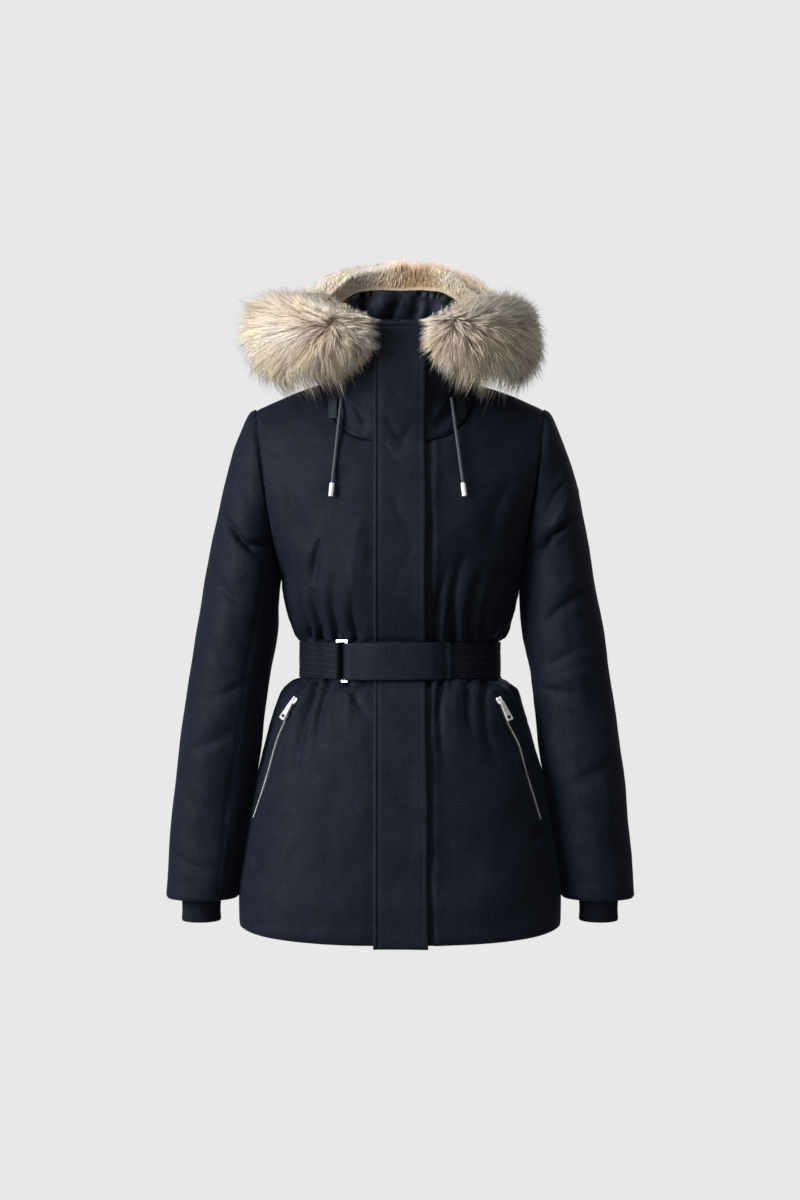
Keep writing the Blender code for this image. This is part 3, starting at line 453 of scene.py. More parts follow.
def torso_point(s, t, front):
    """Points of the half on +X; s from the middle to the side, t from hem to shoulder."""
    s, t = np.broadcast_arrays(np.asarray(s, float), np.asarray(t, float))
    low_t = np.minimum(t, 1.0)
    height = mix(HEM_Z, UNDERARM_Z, low_t)
    power = along(TORSO, "z", "power", height)
    angle = s * math.pi / 2
    x = along(TORSO, "z", "half_width", height) * np.sin(angle) ** (2 / power)
    depth = along(TORSO, "z", "front" if front else "back", height)
    y = depth * np.maximum(np.cos(angle), 0) ** (2 / power)
    lift = 0.0095 * np.sin(angle) ** 2 * (1 - ease(height, -0.71, -0.50))
    lower = stack(x, -y if front else y, height + lift)

    climb = (1 - np.cos(math.pi * np.clip(t - 1, 0, 1))) / 2
    x_neck, z_neck = neckline(np.minimum(s / NECK_SHARE, 1.0), front)
    x_seam = mix(NECK_HALF_WIDTH, SHOULDER_X, (s - NECK_SHARE) / (1 - NECK_SHARE))
    on_neck = s <= NECK_SHARE
    x_top = np.where(on_neck, x_neck, x_seam)
    rise_top = np.where(on_neck, rise_at(x_neck, z_neck), 1.0)
    rise = np.minimum(rise_top * climb, 1.0)
    x_low = UNDERARM_X * np.sin(angle) ** (2 / CHEST_POWER)
    edge = armhole_x(climb) - mix(UNDERARM_X, SHOULDER_X, climb)
    upper = chest_point(mix(x_low, x_top, climb) + s * edge, rise, front)
    return np.where((t <= 1)[..., None], lower, upper)


def armhole_point(angle):
    rise = (1 + np.cos(angle)) / 2
    x = armhole_x(rise)
    ahead, behind = chest_point(x, rise, True), chest_point(x, rise, False)
    return np.where((np.sin(angle) >= 0)[..., None], ahead, behind)


def sleeve_ring(step):
    ring = {name: along(SLEEVE, "step", name, step) for name in Ring._fields[1:]}
    outer = stack(ring["outer_x"], ring["y"], ring["outer_z"])
    inner = stack(ring["inner_x"], ring["y"], ring["inner_z"])
    return (outer + inner) / 2, (outer - inner) / 2, ring["deep"]


def sleeve_point(angle, step):
    angle, step = np.broadcast_arrays(np.asarray(angle, float), np.asarray(step, float))
    middle, half, deep = sleeve_ring(step)
    point = middle + half * np.cos(angle)[..., None]
    point[..., 1] -= deep * np.sin(angle)
    share = (1 - ease(step, 0, ARMHOLE_BLEND))[..., None]
    first_middle, first_half, first_deep = sleeve_ring(np.zeros(1))
    plain = first_middle + first_half * np.cos(angle)[..., None]
    plain[..., 1] -= first_deep * np.sin(angle)
    return point + (armhole_point(angle) - plain) * share


def neck_point(turn):
    front = turn <= 0.5
    x_front, z_front = neckline(np.clip(2 * turn, 0, 1), True)
    x_back, z_back = neckline(np.clip(2 - 2 * turn, 0, 1), False)
    ahead = chest_point(x_front, rise_at(x_front, z_front), True)
    behind = chest_point(x_back, rise_at(x_back, z_back), False)
    return np.where(front[..., None], ahead, behind)


def hoop_point(turn, hoop):
    angle = turn * math.pi
    across, ahead = np.maximum(np.sin(angle), 0), np.cos(angle)
    end_y = np.where(ahead >= 0, hoop["front_y"], hoop["back_y"])
    end_z = np.where(ahead >= 0, hoop["front_z"], hoop["back_z"])
    return stack(hoop["side_x"] * across ** HOOP_POWER,
                 mix(hoop["side_y"], end_y, np.abs(ahead) ** HOOP_POWER),
                 mix(hoop["side_z"], end_z, ahead * ahead))


def hood_point(turn, step):
    """Points of the half on +X; turn from the front (0) to the back (1)."""
    turn, step = np.broadcast_arrays(np.asarray(turn, float), np.asarray(step, float))
    point = hoop_point(turn, {n: along(HOOD, "step", n, step) for n in Hoop._fields[1:]})
    point[..., 2] += RIM_LIFT * near(turn, 0.86, 0.09) * ease(step, 4, RIM)
    share = (1 - ease(step, 0, 1))[..., None]
    return point + (neck_point(turn) - hoop_point(turn, HOOD[0]._asdict())) * share


def unit(v):
    return v / np.maximum(np.linalg.norm(v, axis=-1, keepdims=True), 1e-12)


HOOD_NUDGE = 0.004                 # in turn and in step, to either side, for a normal


def hood_normal(turn, step):
    step = np.clip(step, 0.01, RIM - 0.01)
    low, high = np.clip(turn - HOOD_NUDGE, 0, 1), np.clip(turn + HOOD_NUDGE, 0, 1)
    across = hood_point(high, step) - hood_point(low, step)
    rising = hood_point(turn, step + HOOD_NUDGE) - hood_point(turn, step - HOOD_NUDGE)
    return unit(np.cross(across, rising))


def fur_gap(half):
    """How far outside the rim the hair's flat side stands."""
    return 0.0045 + 0.006 * ease(half, 0.6, 1.0)


def fur_frame(turn):
    """At places round the rim (0 to 2): where the fur starts, its axes and its reach."""
    sign = np.where(turn <= 1, 1.0, -1.0)
    half = np.where(turn <= 1, turn, 2 - turn)
    rim = hood_point(half, RIM)
    out = hood_normal(half, np.full_like(half, RIM - 0.4))
    out[..., 2] = np.maximum(out[..., 2], -0.05)
    out = unit(out)
    ahead = (hood_point(np.minimum(half + 0.01, 1), RIM)
             - hood_point(np.maximum(half - 0.01, 0), RIM))
    ahead = np.where((half > 0.99)[..., None], np.array((-1.0, 0, 0)), ahead)
    up = unit(np.cross(out, ahead))
    up = np.where((up[..., 2] < 0)[..., None], -up, up)
    start = rim + out * fur_gap(half)[..., None]
    flip = stack(sign, 1.0, 1.0)
    reach = {n: np.where(sign < 0, along(FUR_RIGHT, "turn", n, half),
                         along(FUR_LEFT, "turn", n, half)) for n in Fur._fields[1:]}
    return start * flip, out * flip, up * flip, reach


FUR_FIRST = math.asin((FUR_FRONT_X / HOOD[-1].side_x) ** (1 / HOOP_POWER)) / math.pi


def fur_point(turn, angle, size):
    """On the fur's D at an angle (-90 below to 90 above), at a share of its reach."""
    start, out, up, reach = fur_frame(turn)
    lift = np.sin(angle) * np.where(angle > 0, reach["up"], reach["down"])
    end = np.minimum(turn - FUR_FIRST, 2 - FUR_FIRST - turn) / (1 - FUR_FIRST)
    taper = mix(0.62, 1.0, np.sqrt(np.maximum(1 - (1 - np.clip(end / 0.16, 0, 1)) ** 2, 0)))
    spread = size * taper
    return (start + out * (reach["out"] * np.cos(angle) * spread)[..., None]
            + up * (lift * spread)[..., None])


# ---- Making meshes ----


def add_object(name, points, faces, material, smooth=True):
    """faces is an array of equal faces, or a list of such arrays."""
    mesh = bpy.data.meshes.new(name)
    points = np.ascontiguousarray(points, np.float32).reshape(-1, 3)
    groups = [np.asarray(g, np.int32) for g in (faces if isinstance(faces, list) else [faces])]
    loops = np.concatenate([g.ravel() for g in groups])
    sides = np.concatenate([np.full(len(g), g.shape[1], np.int32) for g in groups])
    mesh.vertices.add(len(points))
    mesh.vertices.foreach_set("co", points.ravel())
    mesh.loops.add(len(loops))
    mesh.loops.foreach_set("vertex_index", loops)
    mesh.polygons.add(len(sides))
    mesh.polygons.foreach_set("loop_start", (np.cumsum(sides) - sides).astype(np.int32))
    mesh.update(calc_edges=True)
    mesh.validate()
    if smooth:
        mesh.shade_smooth()
    made = bpy.data.objects.new(name, mesh)
    bpy.context.scene.collection.objects.link(made)
    mesh.materials.append(material)
    return made


def settle(made, node=None):
    """A made piece takes a CAD node's place, or is added to the coat."""
    if node:
        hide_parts(node)
    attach(made, "coat")


def set_tone(made, colours):
    """A colour for each point of a mesh, for its material to read."""
    tone = np.ones((len(colours), 4), np.float32)
    tone[:, :3] = colours
    layer = made.data.color_attributes.new("tone", "FLOAT_COLOR", "POINT")
    layer.data.foreach_set("color", tone.ravel())


def face_out(made):
    cage = bmesh.new()
    cage.from_mesh(made.data)
    bmesh.ops.recalc_face_normals(cage, faces=cage.faces)
    if cage.calc_volume(signed=True) < 0:
        bmesh.ops.reverse_faces(cage, faces=cage.faces)
    cage.to_mesh(made.data)
    cage.free()
    return made


def grid_normals(points, closed=False):
    """Unit normals of a grid of points (rows, columns, 3)."""
    if closed:
        wrapped = np.concatenate((points[:, -1:], points, points[:, :1]), axis=1)
        across = (wrapped[:, 2:] - wrapped[:, :-2])
    else:
        across = np.gradient(points, axis=1)
    return unit(np.cross(across, np.gradient(points, axis=0)))


COARSE = 3                         # a hidden face keeps every third row and column


def grid_faces(index):
    """The faces between the rows and columns of a grid of point numbers."""
    corners = index[:-1, :-1], index[:-1, 1:], index[1:, 1:], index[1:, :-1]
    return np.stack([c.ravel() for c in corners], axis=1)


def numbered(rows, columns):
    return np.arange(rows * columns).reshape(rows, columns)


def run_along(path):
    """How far along a path each of its points is."""
    return np.concatenate(([0], np.cumsum(np.linalg.norm(np.diff(path, axis=0), axis=1))))


def read_at(run, grid, at):
    """A column of values for each point of a path, read at other runs along it."""
    return np.stack([np.interp(at, run, column) for column in grid.T], axis=-1)


def ring_faces(first, rings, around):
    """The faces between rings of points that follow one another."""
    return [(a + k, a + (k + 1) % around, a + around + (k + 1) % around, a + around + k)
            for a in range(first, first + (rings - 1) * around, around) for k in range(around)]


def rim_faces(fine, coarse, kept):
    """Triangles between a fine edge and a coarse one that has its kept points."""
    faces = []
    for k in range(len(kept) - 1):
        a, b = kept[k], kept[k + 1]
        middle = (a + b) // 2
        faces += [(fine[j], fine[j + 1], coarse[k]) for j in range(a, middle)]
        faces.append((fine[middle], coarse[k + 1], coarse[k]))
        faces += [(fine[j], fine[j + 1], coarse[k + 1]) for j in range(middle, b)]
    return faces


def shell(name, seen, hidden, material, closed=False, tone=None):
    """A closed solid between two grids, the hidden one made coarser. tone is a brightness
    for each point of the grid."""
    rows, columns = seen.shape[:2]
    kept_rows = list(range(0, rows - 1, COARSE)) + [rows - 1]
    kept = list(range(0, columns - (0 if closed else 1), COARSE))
    if not closed:
        kept.append(columns - 1)
    back_points = hidden[np.ix_(kept_rows, kept)]
    points = np.concatenate((seen.reshape(-1, 3), back_points.reshape(-1, 3)))
    index = numbered(rows, columns)
    back = rows * columns + numbered(len(kept_rows), len(kept))
    if closed:
        index = np.concatenate((index, index[:, :1]), axis=1)
        back = np.concatenate((back, back[:, :1]), axis=1)
        kept = kept + [columns]
    sides = [grid_faces(index), grid_faces(back)]
    rims = rim_faces(index[0], back[0], kept) + rim_faces(index[-1], back[-1], kept)
    if not closed:
        rims += rim_faces(index[:, 0], back[:, 0], kept_rows)
        rims += rim_faces(index[:, -1], back[:, -1], kept_rows)
    made = add_object(name, points, [np.concatenate(sides), np.array(rims)], material)
    if tone is not None:
        tone = np.broadcast_to(tone, (rows, columns))
        both = (tone, tone[np.ix_(kept_rows, kept[:back_points.shape[1]])])
        set_tone(made, np.concatenate([t.reshape(-1, 1) for t in both]))
    return face_out(made)


def rounded(outer, inner, edge, sides="lrbt"):
    """Draws the rows and columns near an edge together, so that the edge is rounded."""
    rows, columns = outer.shape[:2]
    middle = (outer + inner) / 2
    run, rise = run_along(outer[rows // 2]), run_along(outer[:, columns // 2])
    nearness = np.full((rows, columns), 1.0)
    spans = {"l": run[None, :], "r": (run[-1] - run)[None, :],
             "b": rise[:, None], "t": (rise[-1] - rise)[:, None]}
    for side in sides:
        share = np.clip(spans[side] / edge, 0, 1)
        nearness = nearness * np.sqrt(np.maximum(1 - (1 - share) ** 2, 0.03))
    swell = nearness[..., None]
    return middle + (outer - middle) * swell, middle + (inner - middle) * swell


def held_by_belt(z, slack):
    return np.exp(-((z - WAIST_Z) / (BELT_HALF + slack)) ** 16)


def away_from(base, edge):
    """How far each point of a grid is from the end of its row or column at an edge."""
    return np.linalg.norm(base - edge, axis=-1)


def ripple(points, scale, depth, seed):
    """A smooth uneven field, the same each run."""
    rng = np.random.default_rng(seed)
    total = np.zeros(points.shape[:-1])
    for _ in range(7):
        way = unit(rng.normal(size=3)) * (2 * math.pi / (scale * rng.uniform(0.6, 1.6)))
        total += np.sin(points @ way + rng.uniform(0, 2 * math.pi))
    return total * depth / 2.6


def fold_depth(points, creases):
    """How far the folds sink the cloth at each point, seen along Y. Gathers start narrow and
    deep at the belt and fan out as they fade; other folds fade at both ends."""
    x, z = points[..., 0], points[..., 2]
    total = np.zeros(x.shape)
    for fold in creases:
        run_x, run_z = fold.x1 - fold.x0, fold.z1 - fold.z0
        length = math.hypot(run_x, run_z)
        run_x, run_z = run_x / length, run_z / length
        along_it = ((x - fold.x0) * run_x + (z - fold.z0) * run_z) / length
        bend = 0.06 * length * np.sin(math.pi * np.clip(along_it, 0, 1))
        aside = ((x - fold.x0) * run_z - (z - fold.z0) * run_x) - bend
        share = np.clip(along_it, 0, 1)
        at_belt = [abs(end - WAIST_Z) < GATHER_REACH for end in (fold.z0, fold.z1)]
        if any(at_belt):
            share = share if at_belt[1] else 1 - share
            width = fold.width * (1.45 - 0.75 * share)
            ends = share ** 1.1
        else:
            width = fold.width * (0.75 + 0.5 * share)
            ends = np.sin(math.pi * share) ** 0.8
        over = np.clip(-along_it, 0, None) + np.clip(along_it - 1, 0, None)
        fade = near(over * length, 0, 1.2 * fold.width)
        u = aside / width
        bell = 0.45 * np.exp(-u * u) + 0.55 * np.exp(-2.6 * np.abs(u) ** 1.3)
        total += (fold.depth * bell - fold.roll * 1.6 * u * bell) * fade * ends
    return total


# ---- Materials ----


class Nodes:
    """A material's nodes, added by type and joined by name."""

    def __init__(self, name, base, roughness, metallic=0.0, sheen=0.0, specular=0.5):
        self.material = bpy.data.materials.new(name)
        self.material.use_nodes = True
        self.tree = self.material.node_tree
        self.shader = self.tree.nodes["Principled BSDF"]
        for socket, value in (("Base Color", (*base, 1)), ("Roughness", roughness),
                              ("Metallic", metallic), ("Sheen Weight", sheen),
                              ("Sheen Roughness", 0.45), ("Specular IOR Level", specular)):
            self.shader.inputs[socket].default_value = value
        self.place = self.add("ShaderNodeTexCoord").outputs["Object"]

    def add(self, kind, **values):
        """Values are the node's properties, or its sockets with _ for a space."""
        node = self.tree.nodes.new(kind)
        for name, value in values.items():
            if name in node.bl_rna.properties:
                setattr(node, name, value)
            else:
                node.inputs[name.replace("_", " ")].default_value = value
        return node

    def join(self, output, node, socket):
        self.tree.links.new(output, node.inputs[socket])

    def noise(self, scale, detail, stretch=(1, 1, 1)):
        turned = self.add("ShaderNodeMapping", Scale=stretch)
        self.join(self.place, turned, "Vector")
        made = self.add("ShaderNodeTexNoise", Scale=scale, Detail=detail)
        self.join(turned.outputs["Vector"], made, "Vector")
        return made.outputs["Fac"]

    def wave(self, scale, direction, distortion=0.0):
        made = self.add("ShaderNodeTexWave", wave_type="BANDS", bands_direction=direction,
                        Scale=scale, Distortion=distortion)
        self.join(self.place, made, "Vector")
        return made.outputs["Fac"]

    def ramp(self, fac, dark, pale, edge=0.3):
        """Two colours, mixed between the shares edge and 1 - edge of a grey output."""
        made = self.add("ShaderNodeValToRGB")
        for element, at, colour in zip(made.color_ramp.elements, (edge, 1 - edge), (dark, pale)):
            element.position = at
            element.color = (*colour, 1)
        self.join(fac, made, "Fac")
        return made.outputs["Color"]

    def grey(self, fac, low, high):
        made = self.add("ShaderNodeMapRange", To_Min=low, To_Max=high)
        self.join(fac, made, "Value")
        return made.outputs["Result"]

    def bump(self, height, strength, distance, below=None):
        made = self.add("ShaderNodeBump", Strength=strength, Distance=distance)
        self.join(height, made, "Height")
        if below is not None:
            self.join(below, made, "Normal")
        return made.outputs["Normal"]

    def tone(self):
        """The mesh's tone attribute: its colour and, on some pieces, painted light and shade."""
        return self.add("ShaderNodeAttribute", attribute_name="tone").outputs["Color"]

    def times_tone(self, output):
        made = self.add("ShaderNodeMix", data_type="RGBA", blend_type="MULTIPLY")
        made.inputs[0].default_value = 1.0
        self.join(output, made, 6)
        self.join(self.tone(), made, 7)
        return made.outputs[2]

    def finish(self, colour=None, rough=None, normal=None):
        """Joins outputs to the shader."""
        for output, socket in ((colour, "Base Color"), (rough, "Roughness"), (normal, "Normal")):
            if output is not None:
                self.join(output, self.shader, socket)
        return self.material


def scaled(colour, k):
    return tuple(c * k for c in colour)


def cloth(name, base, roughness=0.66, weave=0.30, toned=False):
    """A tight weave: fine crossed threads, fine grain and soft small wrinkles."""
    m = Nodes(name, base, roughness, sheen=0.03, specular=0.08)
    m.shader.inputs["Sheen Tint"].default_value = (0.45, 0.60, 0.85, 1)
    grain = m.add("ShaderNodeMix", data_type="FLOAT", blend_type="MIX")
    grain.inputs[0].default_value = 0.70
    m.join(m.noise(45, 5), grain, 2)
    m.join(m.noise(340, 3), grain, 3)
    tint = m.ramp(grain.outputs[0], scaled(base, 0.60), scaled(base, 1.40), 0.34)
    normal = None
    for stretch in ((1, 1, 0.30), (0.30, 0.30, 1)):
        normal = m.bump(m.noise(1100, 1, stretch), weave, 0.00020, normal)
    return m.finish(m.times_tone(tint) if toned else tint,
                    m.grey(m.noise(60, 3), roughness - 0.07, roughness + 0.07),
                    m.bump(m.noise(75, 3), 0.45, 0.0010, normal))


def make_materials():
    made = {
        "shell": cloth("shell_cloth", (0.0058, 0.0074, 0.0140)),
        "placket": cloth("placket_cloth", (0.0061, 0.0084, 0.0138), 0.62),
        # The belt's tone holds its paler strap and painted light and shade.
        "belt": cloth("belt_cloth", (0.0062, 0.0080, 0.0143), 0.60, weave=0.4, toned=True),
        "tab": cloth("tab_cloth", (0.0110, 0.0150, 0.0215), 0.60),
    }
    satin = (0.0290, 0.0345, 0.0530)
    m = Nodes("lining_cloth", satin, 0.42, specular=0.12)
    tint = m.ramp(m.noise(60, 3), scaled(satin, 0.8), scaled(satin, 1.2))
    # The lining's colour is multiplied by its tone, which holds painted shade and painted highlights.
    made["lining"] = m.finish(m.times_tone(tint), m.grey(m.noise(90, 2), 0.36, 0.50),
                              m.bump(m.noise(85, 4, (1, 1, 0.30)), 0.7, 0.0035))

    m = Nodes("rib_knit", (0.0060, 0.0072, 0.0140), 0.85, sheen=0.05, specular=0.1)
    made["knit"] = m.finish(
        m.ramp(m.noise(300, 2), (0.0042, 0.0050, 0.0102), (0.0082, 0.0098, 0.0184)),
        normal=m.bump(m.wave(330, "Z", 1.5), 0.5, 0.0004))

    m = Nodes("fur", (0.6, 0.5, 0.4), 0.55, sheen=0.15, specular=0.35)
    made["fur"] = m.finish(m.tone())

    m = Nodes("undercoat", (0.2, 0.15, 0.12), 0.95, specular=0.1)
    made["undercoat"] = m.finish(
        m.ramp(m.noise(420, 4), (0.300, 0.240, 0.185), (0.560, 0.455, 0.350), 0.35),
        normal=m.bump(m.noise(700, 3), 0.5, 0.0015))

    m = Nodes("cord", (0.030, 0.046, 0.066), 0.6, sheen=0.3)
    braid = m.wave(480, "DIAGONAL", 0.6)
    made["cord"] = m.finish(m.ramp(braid, (0.014, 0.022, 0.033), (0.045, 0.066, 0.092), 0.2),
                            normal=m.bump(braid, 0.6, 0.0004))

    m = Nodes("stitching", (0.012, 0.015, 0.022), 0.7, sheen=0.1)
    made["stitch"] = m.finish(m.ramp(m.noise(900, 2), (0.008, 0.010, 0.015),
                                     (0.018, 0.022, 0.032)))

    m = Nodes("polished_metal", (0.95, 0.95, 0.94), 0.36, metallic=0.60)
    made["metal"] = m.finish(
        m.ramp(m.noise(240, 3), (0.90, 0.90, 0.89), (0.99, 0.99, 0.98)),
        m.grey(m.noise(180, 4), 0.30, 0.42), m.bump(m.noise(1100, 2), 0.05, 0.0002))

    m = Nodes("zip_metal", (0.76, 0.76, 0.70), 0.34, metallic=0.60)
    made["zip"] = m.finish(m.ramp(m.noise(500, 2), (0.72, 0.72, 0.66), (0.98, 0.98, 0.92)),
                           m.grey(m.noise(420, 3), 0.25, 0.45))

    m = Nodes("zip_tape", (0.006, 0.007, 0.010), 0.8, sheen=0.2)
    made["tape"] = m.finish(m.ramp(m.noise(300, 2), (0.004, 0.005, 0.007), (0.009, 0.010, 0.014)),
                            normal=m.bump(m.wave(500, "Z"), 0.4, 0.0003))
    return made


MATERIALS = make_materials()

# ---- Torso ----


FRONT_COLUMNS, BACK_COLUMNS = 100, 46
BODY_ROWS, CHEST_ROWS = 185, 85     # below and above the underarm
CHEST_CLIMB = np.linspace(0, 1, CHEST_ROWS + 1)[1:]
TORSO_ROWS = np.concatenate((np.linspace(0, 1, BODY_ROWS),
                             1 + np.arccos(1 - 2 * CHEST_CLIMB) / math.pi))


def zip_hollow(points, sign):
    """The pocket's mouth: a narrow valley under its zip, with raised welts beside it."""
    z, first, last = points[..., 2], POCKET_ZIP[0], POCKET_ZIP[-1]
    x_zip = along(POCKET_ZIP, "z", "right" if sign < 0 else "left", z)
    slant = (last.right - first.right) / (first.z - last.z)
    aside = (sign * points[..., 0] - x_zip) / math.hypot(1, slant)
    inside = (ease(z, last.z - 0.010, last.z + 0.002)
              * (1 - ease(z, first.z + 0.006, first.z + 0.016)))
    return inside * (0.0004 * near(aside, 0, 0.0030) - 0.0011 * near(np.abs(aside), 0.0062, 0.0030))


HEM_STITCH, HEM_DENT = 0.024, 0.0004


def torso_relief(points, creases, seed):
    """How far the cloth stands out of its plain form."""
    z = points[..., 2]
    above, below, hem = z - BELT_HIGH, BELT_LOW - z, z - HEM_Z
    total = -fold_depth(points, creases)
    total += ripple(points, 0.130, 0.0012, seed) + ripple(points, 0.042, 0.0003, seed + 1)
    upright = points * np.array((1, 1, 0.12))
    total += near(np.maximum(above, below), 0, 0.022) * ripple(upright, 0.022, 0.0024, seed + 2)
    # The cloth blouses over the belt's upper edge and flares from its lower one.
    total += 0.0042 * near(above, 0.0035, 0.0045)
    total += 0.0036 * near(below, 0.0030, 0.0040)
    held = held_by_belt(z, 0.0005)
    total = total * (1 - held) - held * 0.0006
    total -= HEM_DENT * near(hem, HEM_STITCH, 0.0020)
    return total + 0.0008 * near(hem, HEM_STITCH / 2, 0.0080)


def shoulder_fade(points):
    """Seams are drawn tight and lie flat on top of the shoulders."""
    return 1 - 0.85 * ease(points[..., 2], -0.085, -0.030)


def panel(name, sides, front, creases, seed, node):
    """A front, or the back, on whose panel the two sides (-1 and 1) are joined."""
    even = np.linspace(0, 1, FRONT_COLUMNS if front else BACK_COLUMNS)
    shares = np.sin(even * math.pi / 2) * 0.35 + even * 0.65
    grids = []
    for sign in sides:
        s = shares if sign > 0 else shares[::-1]
        if len(sides) == 2 and sign > 0:
            s = s[1:]
        grid = torso_point(s[None, :], TORSO_ROWS[:, None], front)
        grid[..., 0] *= sign
        grids.append(grid)
    base = np.concatenate(grids, axis=1)
    normals = grid_normals(base)
    normals *= np.sign(np.sum(normals[..., 1]) * (-1 if front else 1))
    relief = torso_relief(base, creases, seed)
    if front:
        relief -= zip_hollow(base, sides[0])
    # Seams: the cloth dips where panels are sewn together.
    for k in (0, -1) if len(sides) == 2 else (0,) if sides[0] < 0 else (-1,):
        distance = away_from(base, base[:, [k]])
        relief -= 0.0018 * near(distance, 0, 0.0030) * shoulder_fade(base)
        relief += ripple(base, 0.013, 0.0005, seed + 5) * near(distance, 0, 0.010)
    top = away_from(base, base[-1:])
    relief = np.where(relief > 0, relief * ease(top, 0.0, 0.040), relief)
    relief -= 0.0012 * near(top, 0, 0.0030)
    relief = np.clip(relief, -0.0110, 0.0070)
    x, z = base[..., 0], base[..., 2]
    beside_arm = ease(np.abs(normals[..., 0]), 0.80, 0.97) * (1 - ease(z, -0.50, -0.46))
    relief = mix(relief, 0.0016, beside_arm)
    if front:
        under_flap = 1 - ease(np.abs(x), 0.036, 0.050)
        relief = relief * (1 - under_flap) - 0.0004 * under_flap
    if front and sides[0] > 0:
        # A shaded groove, then a soft ridge, along the flap's free edge.
        free = 1 - held_by_belt(z, 0.002)
        relief -= 0.0026 * free * near(x, 0.0385, 0.0032)
        relief += 0.0013 * free * near(x, 0.0470, 0.0040)
    outer = base + normals * relief[..., None]
    inner = base - normals * BODY_WALL + normals * np.minimum(relief, 0)[..., None]
    outer, inner = rounded(outer, inner, 0.0030, "b")
    settle(shell(name, outer, inner, MATERIALS["shell"]), node)


# ---- Sleeves and cuffs ----

SLEEVE_ROWS, SLEEVE_COLUMNS = 196, 100
SLEEVE_SEAM = math.radians(118)    # round from the outside


def sleeve(name, sign, creases, seed, node):
    steps = np.concatenate((np.linspace(0, 1, 14),
                            np.linspace(1, SLEEVE_END, SLEEVE_ROWS)[1:]))
    angles = np.linspace(0, 2 * math.pi, SLEEVE_COLUMNS, endpoint=False)
    base = sleeve_point(angles[None, :], steps[:, None])
    base[..., 0] *= sign
    normals = grid_normals(base, closed=True)
    middle = base.mean(axis=1, keepdims=True)
    normals *= np.sign(np.sum(normals * (base - middle)))
    z, sideways = base[..., 2], normals[..., 0] * sign
    ahead = ease(-normals[..., 1], -0.25, 0.25)
    behind = [fold._replace(x0=fold.x0 * sign, x1=fold.x1 * sign) for fold in SLEEVE_BACK_FOLDS]
    relief = -fold_depth(base, creases) * ahead - fold_depth(base, behind) * (1 - ahead)
    relief += ripple(base, 0.085, 0.0015, seed) + ripple(base, 0.036, 0.0005, seed + 1)
    # The sleeve's head dips at its seam and stands round below it.
    first = away_from(base, base[:1])
    fade = shoulder_fade(base)
    relief = np.where(relief > 0, relief * mix(ease(first, 0.0, 0.060), 1, 0.1), relief)
    relief -= 0.0020 * near(first, 0, 0.0030) * fade
    relief += ripple(base, 0.014, 0.0006, seed + 2) * near(first, 0, 0.012) * fade
    relief += 0.0020 * near(first, 0.014, 0.011) * ease(z, -0.100, -0.050)
    relief -= 0.0005 * near(z - SLEEVE[-1].outer_z, HEM_STITCH, 0.0022)
    # The seam down the front of the sleeve.
    round_it = np.abs((angles - SLEEVE_SEAM + math.pi) % (2 * math.pi) - math.pi)[None, :] * 0.058
    relief -= 0.0012 * near(round_it, 0, 0.0022) * ease(steps, 3.0, 4.2)[:, None]
    toward_body = ease(-sideways, 0.55, 0.85)
    relief = np.clip(relief, -0.0125, 0.0055)
    relief = np.where(relief > 0, relief * (1 - toward_body), relief)
    relief = relief * (1 - 0.60 * ease(sideways, 0.50, 0.92))
    # Beside the skirt the sleeve lies close to it, without troughs.
    relief = mix(relief, 0.0017, toward_body * (1 - ease(z, -0.47, -0.42)))
    outer = base + normals * relief[..., None]
    inner = base + unit(middle - base) * BODY_WALL + normals * np.minimum(relief, 0)[..., None]
    outer, inner = rounded(outer, inner, 0.0034, "t")
    settle(shell(name, outer, inner, MATERIALS["shell"], closed=True), node)


CUFF_ROWS, CUFF_RIBS, RIB_POINTS = 24, 62, 5


def cuff(name, sign, node):
    heights = np.linspace(CUFF[0].z, CUFF[-1].z, CUFF_ROWS)
    angles = np.linspace(0, 2 * math.pi, CUFF_RIBS * RIB_POINTS, endpoint=False)
    wave = np.sin(angles * CUFF_RIBS)
    wide = along(CUFF, "z", "half_width", heights)[:, None]
    deep = along(CUFF, "z", "half_deep", heights)[:, None]
    round_it = stack(np.cos(angles)[None, :], np.sin(angles)[None, :], heights[:, None] * 9)
    swell = ((0.0004 * (np.sign(wave) * np.abs(wave) ** 0.6))[None, :] - 0.0004
             + ripple(round_it, 1.3, 0.0003, 61))
    grids = []
    for inside in (0.0, CUFF_WALL - 0.0008):
        x = CUFF_MIDDLE[0] + (wide - inside + swell) * np.cos(angles)
        y = CUFF_MIDDLE[1] + (deep - inside + swell) * np.sin(angles)
        grids.append(stack(sign * x, y, heights[:, None]))
    outer, inner = rounded(*grids, 0.0016, "t")
    settle(shell(name, outer, inner, MATERIALS["knit"], closed=True), node)


# ---- Hood ----

SHELL_GRID, LINING_GRID = (76, 76), (108, 66)     # columns of half the hood, and rows
HOOD_SEAM_X = 0.048


def hood_grid(turns, steps):
    """The whole hood's surface, from the front on -X round the back to the front on +X."""
    half = hood_point(turns[None, :], steps[:, None])
    half[:, -1, 0] = 0
    mirrored = half[:, :-1] * np.array((-1, 1, 1))
    return np.concatenate((mirrored, half[:, -1:], half[:, -2::-1]), axis=1)


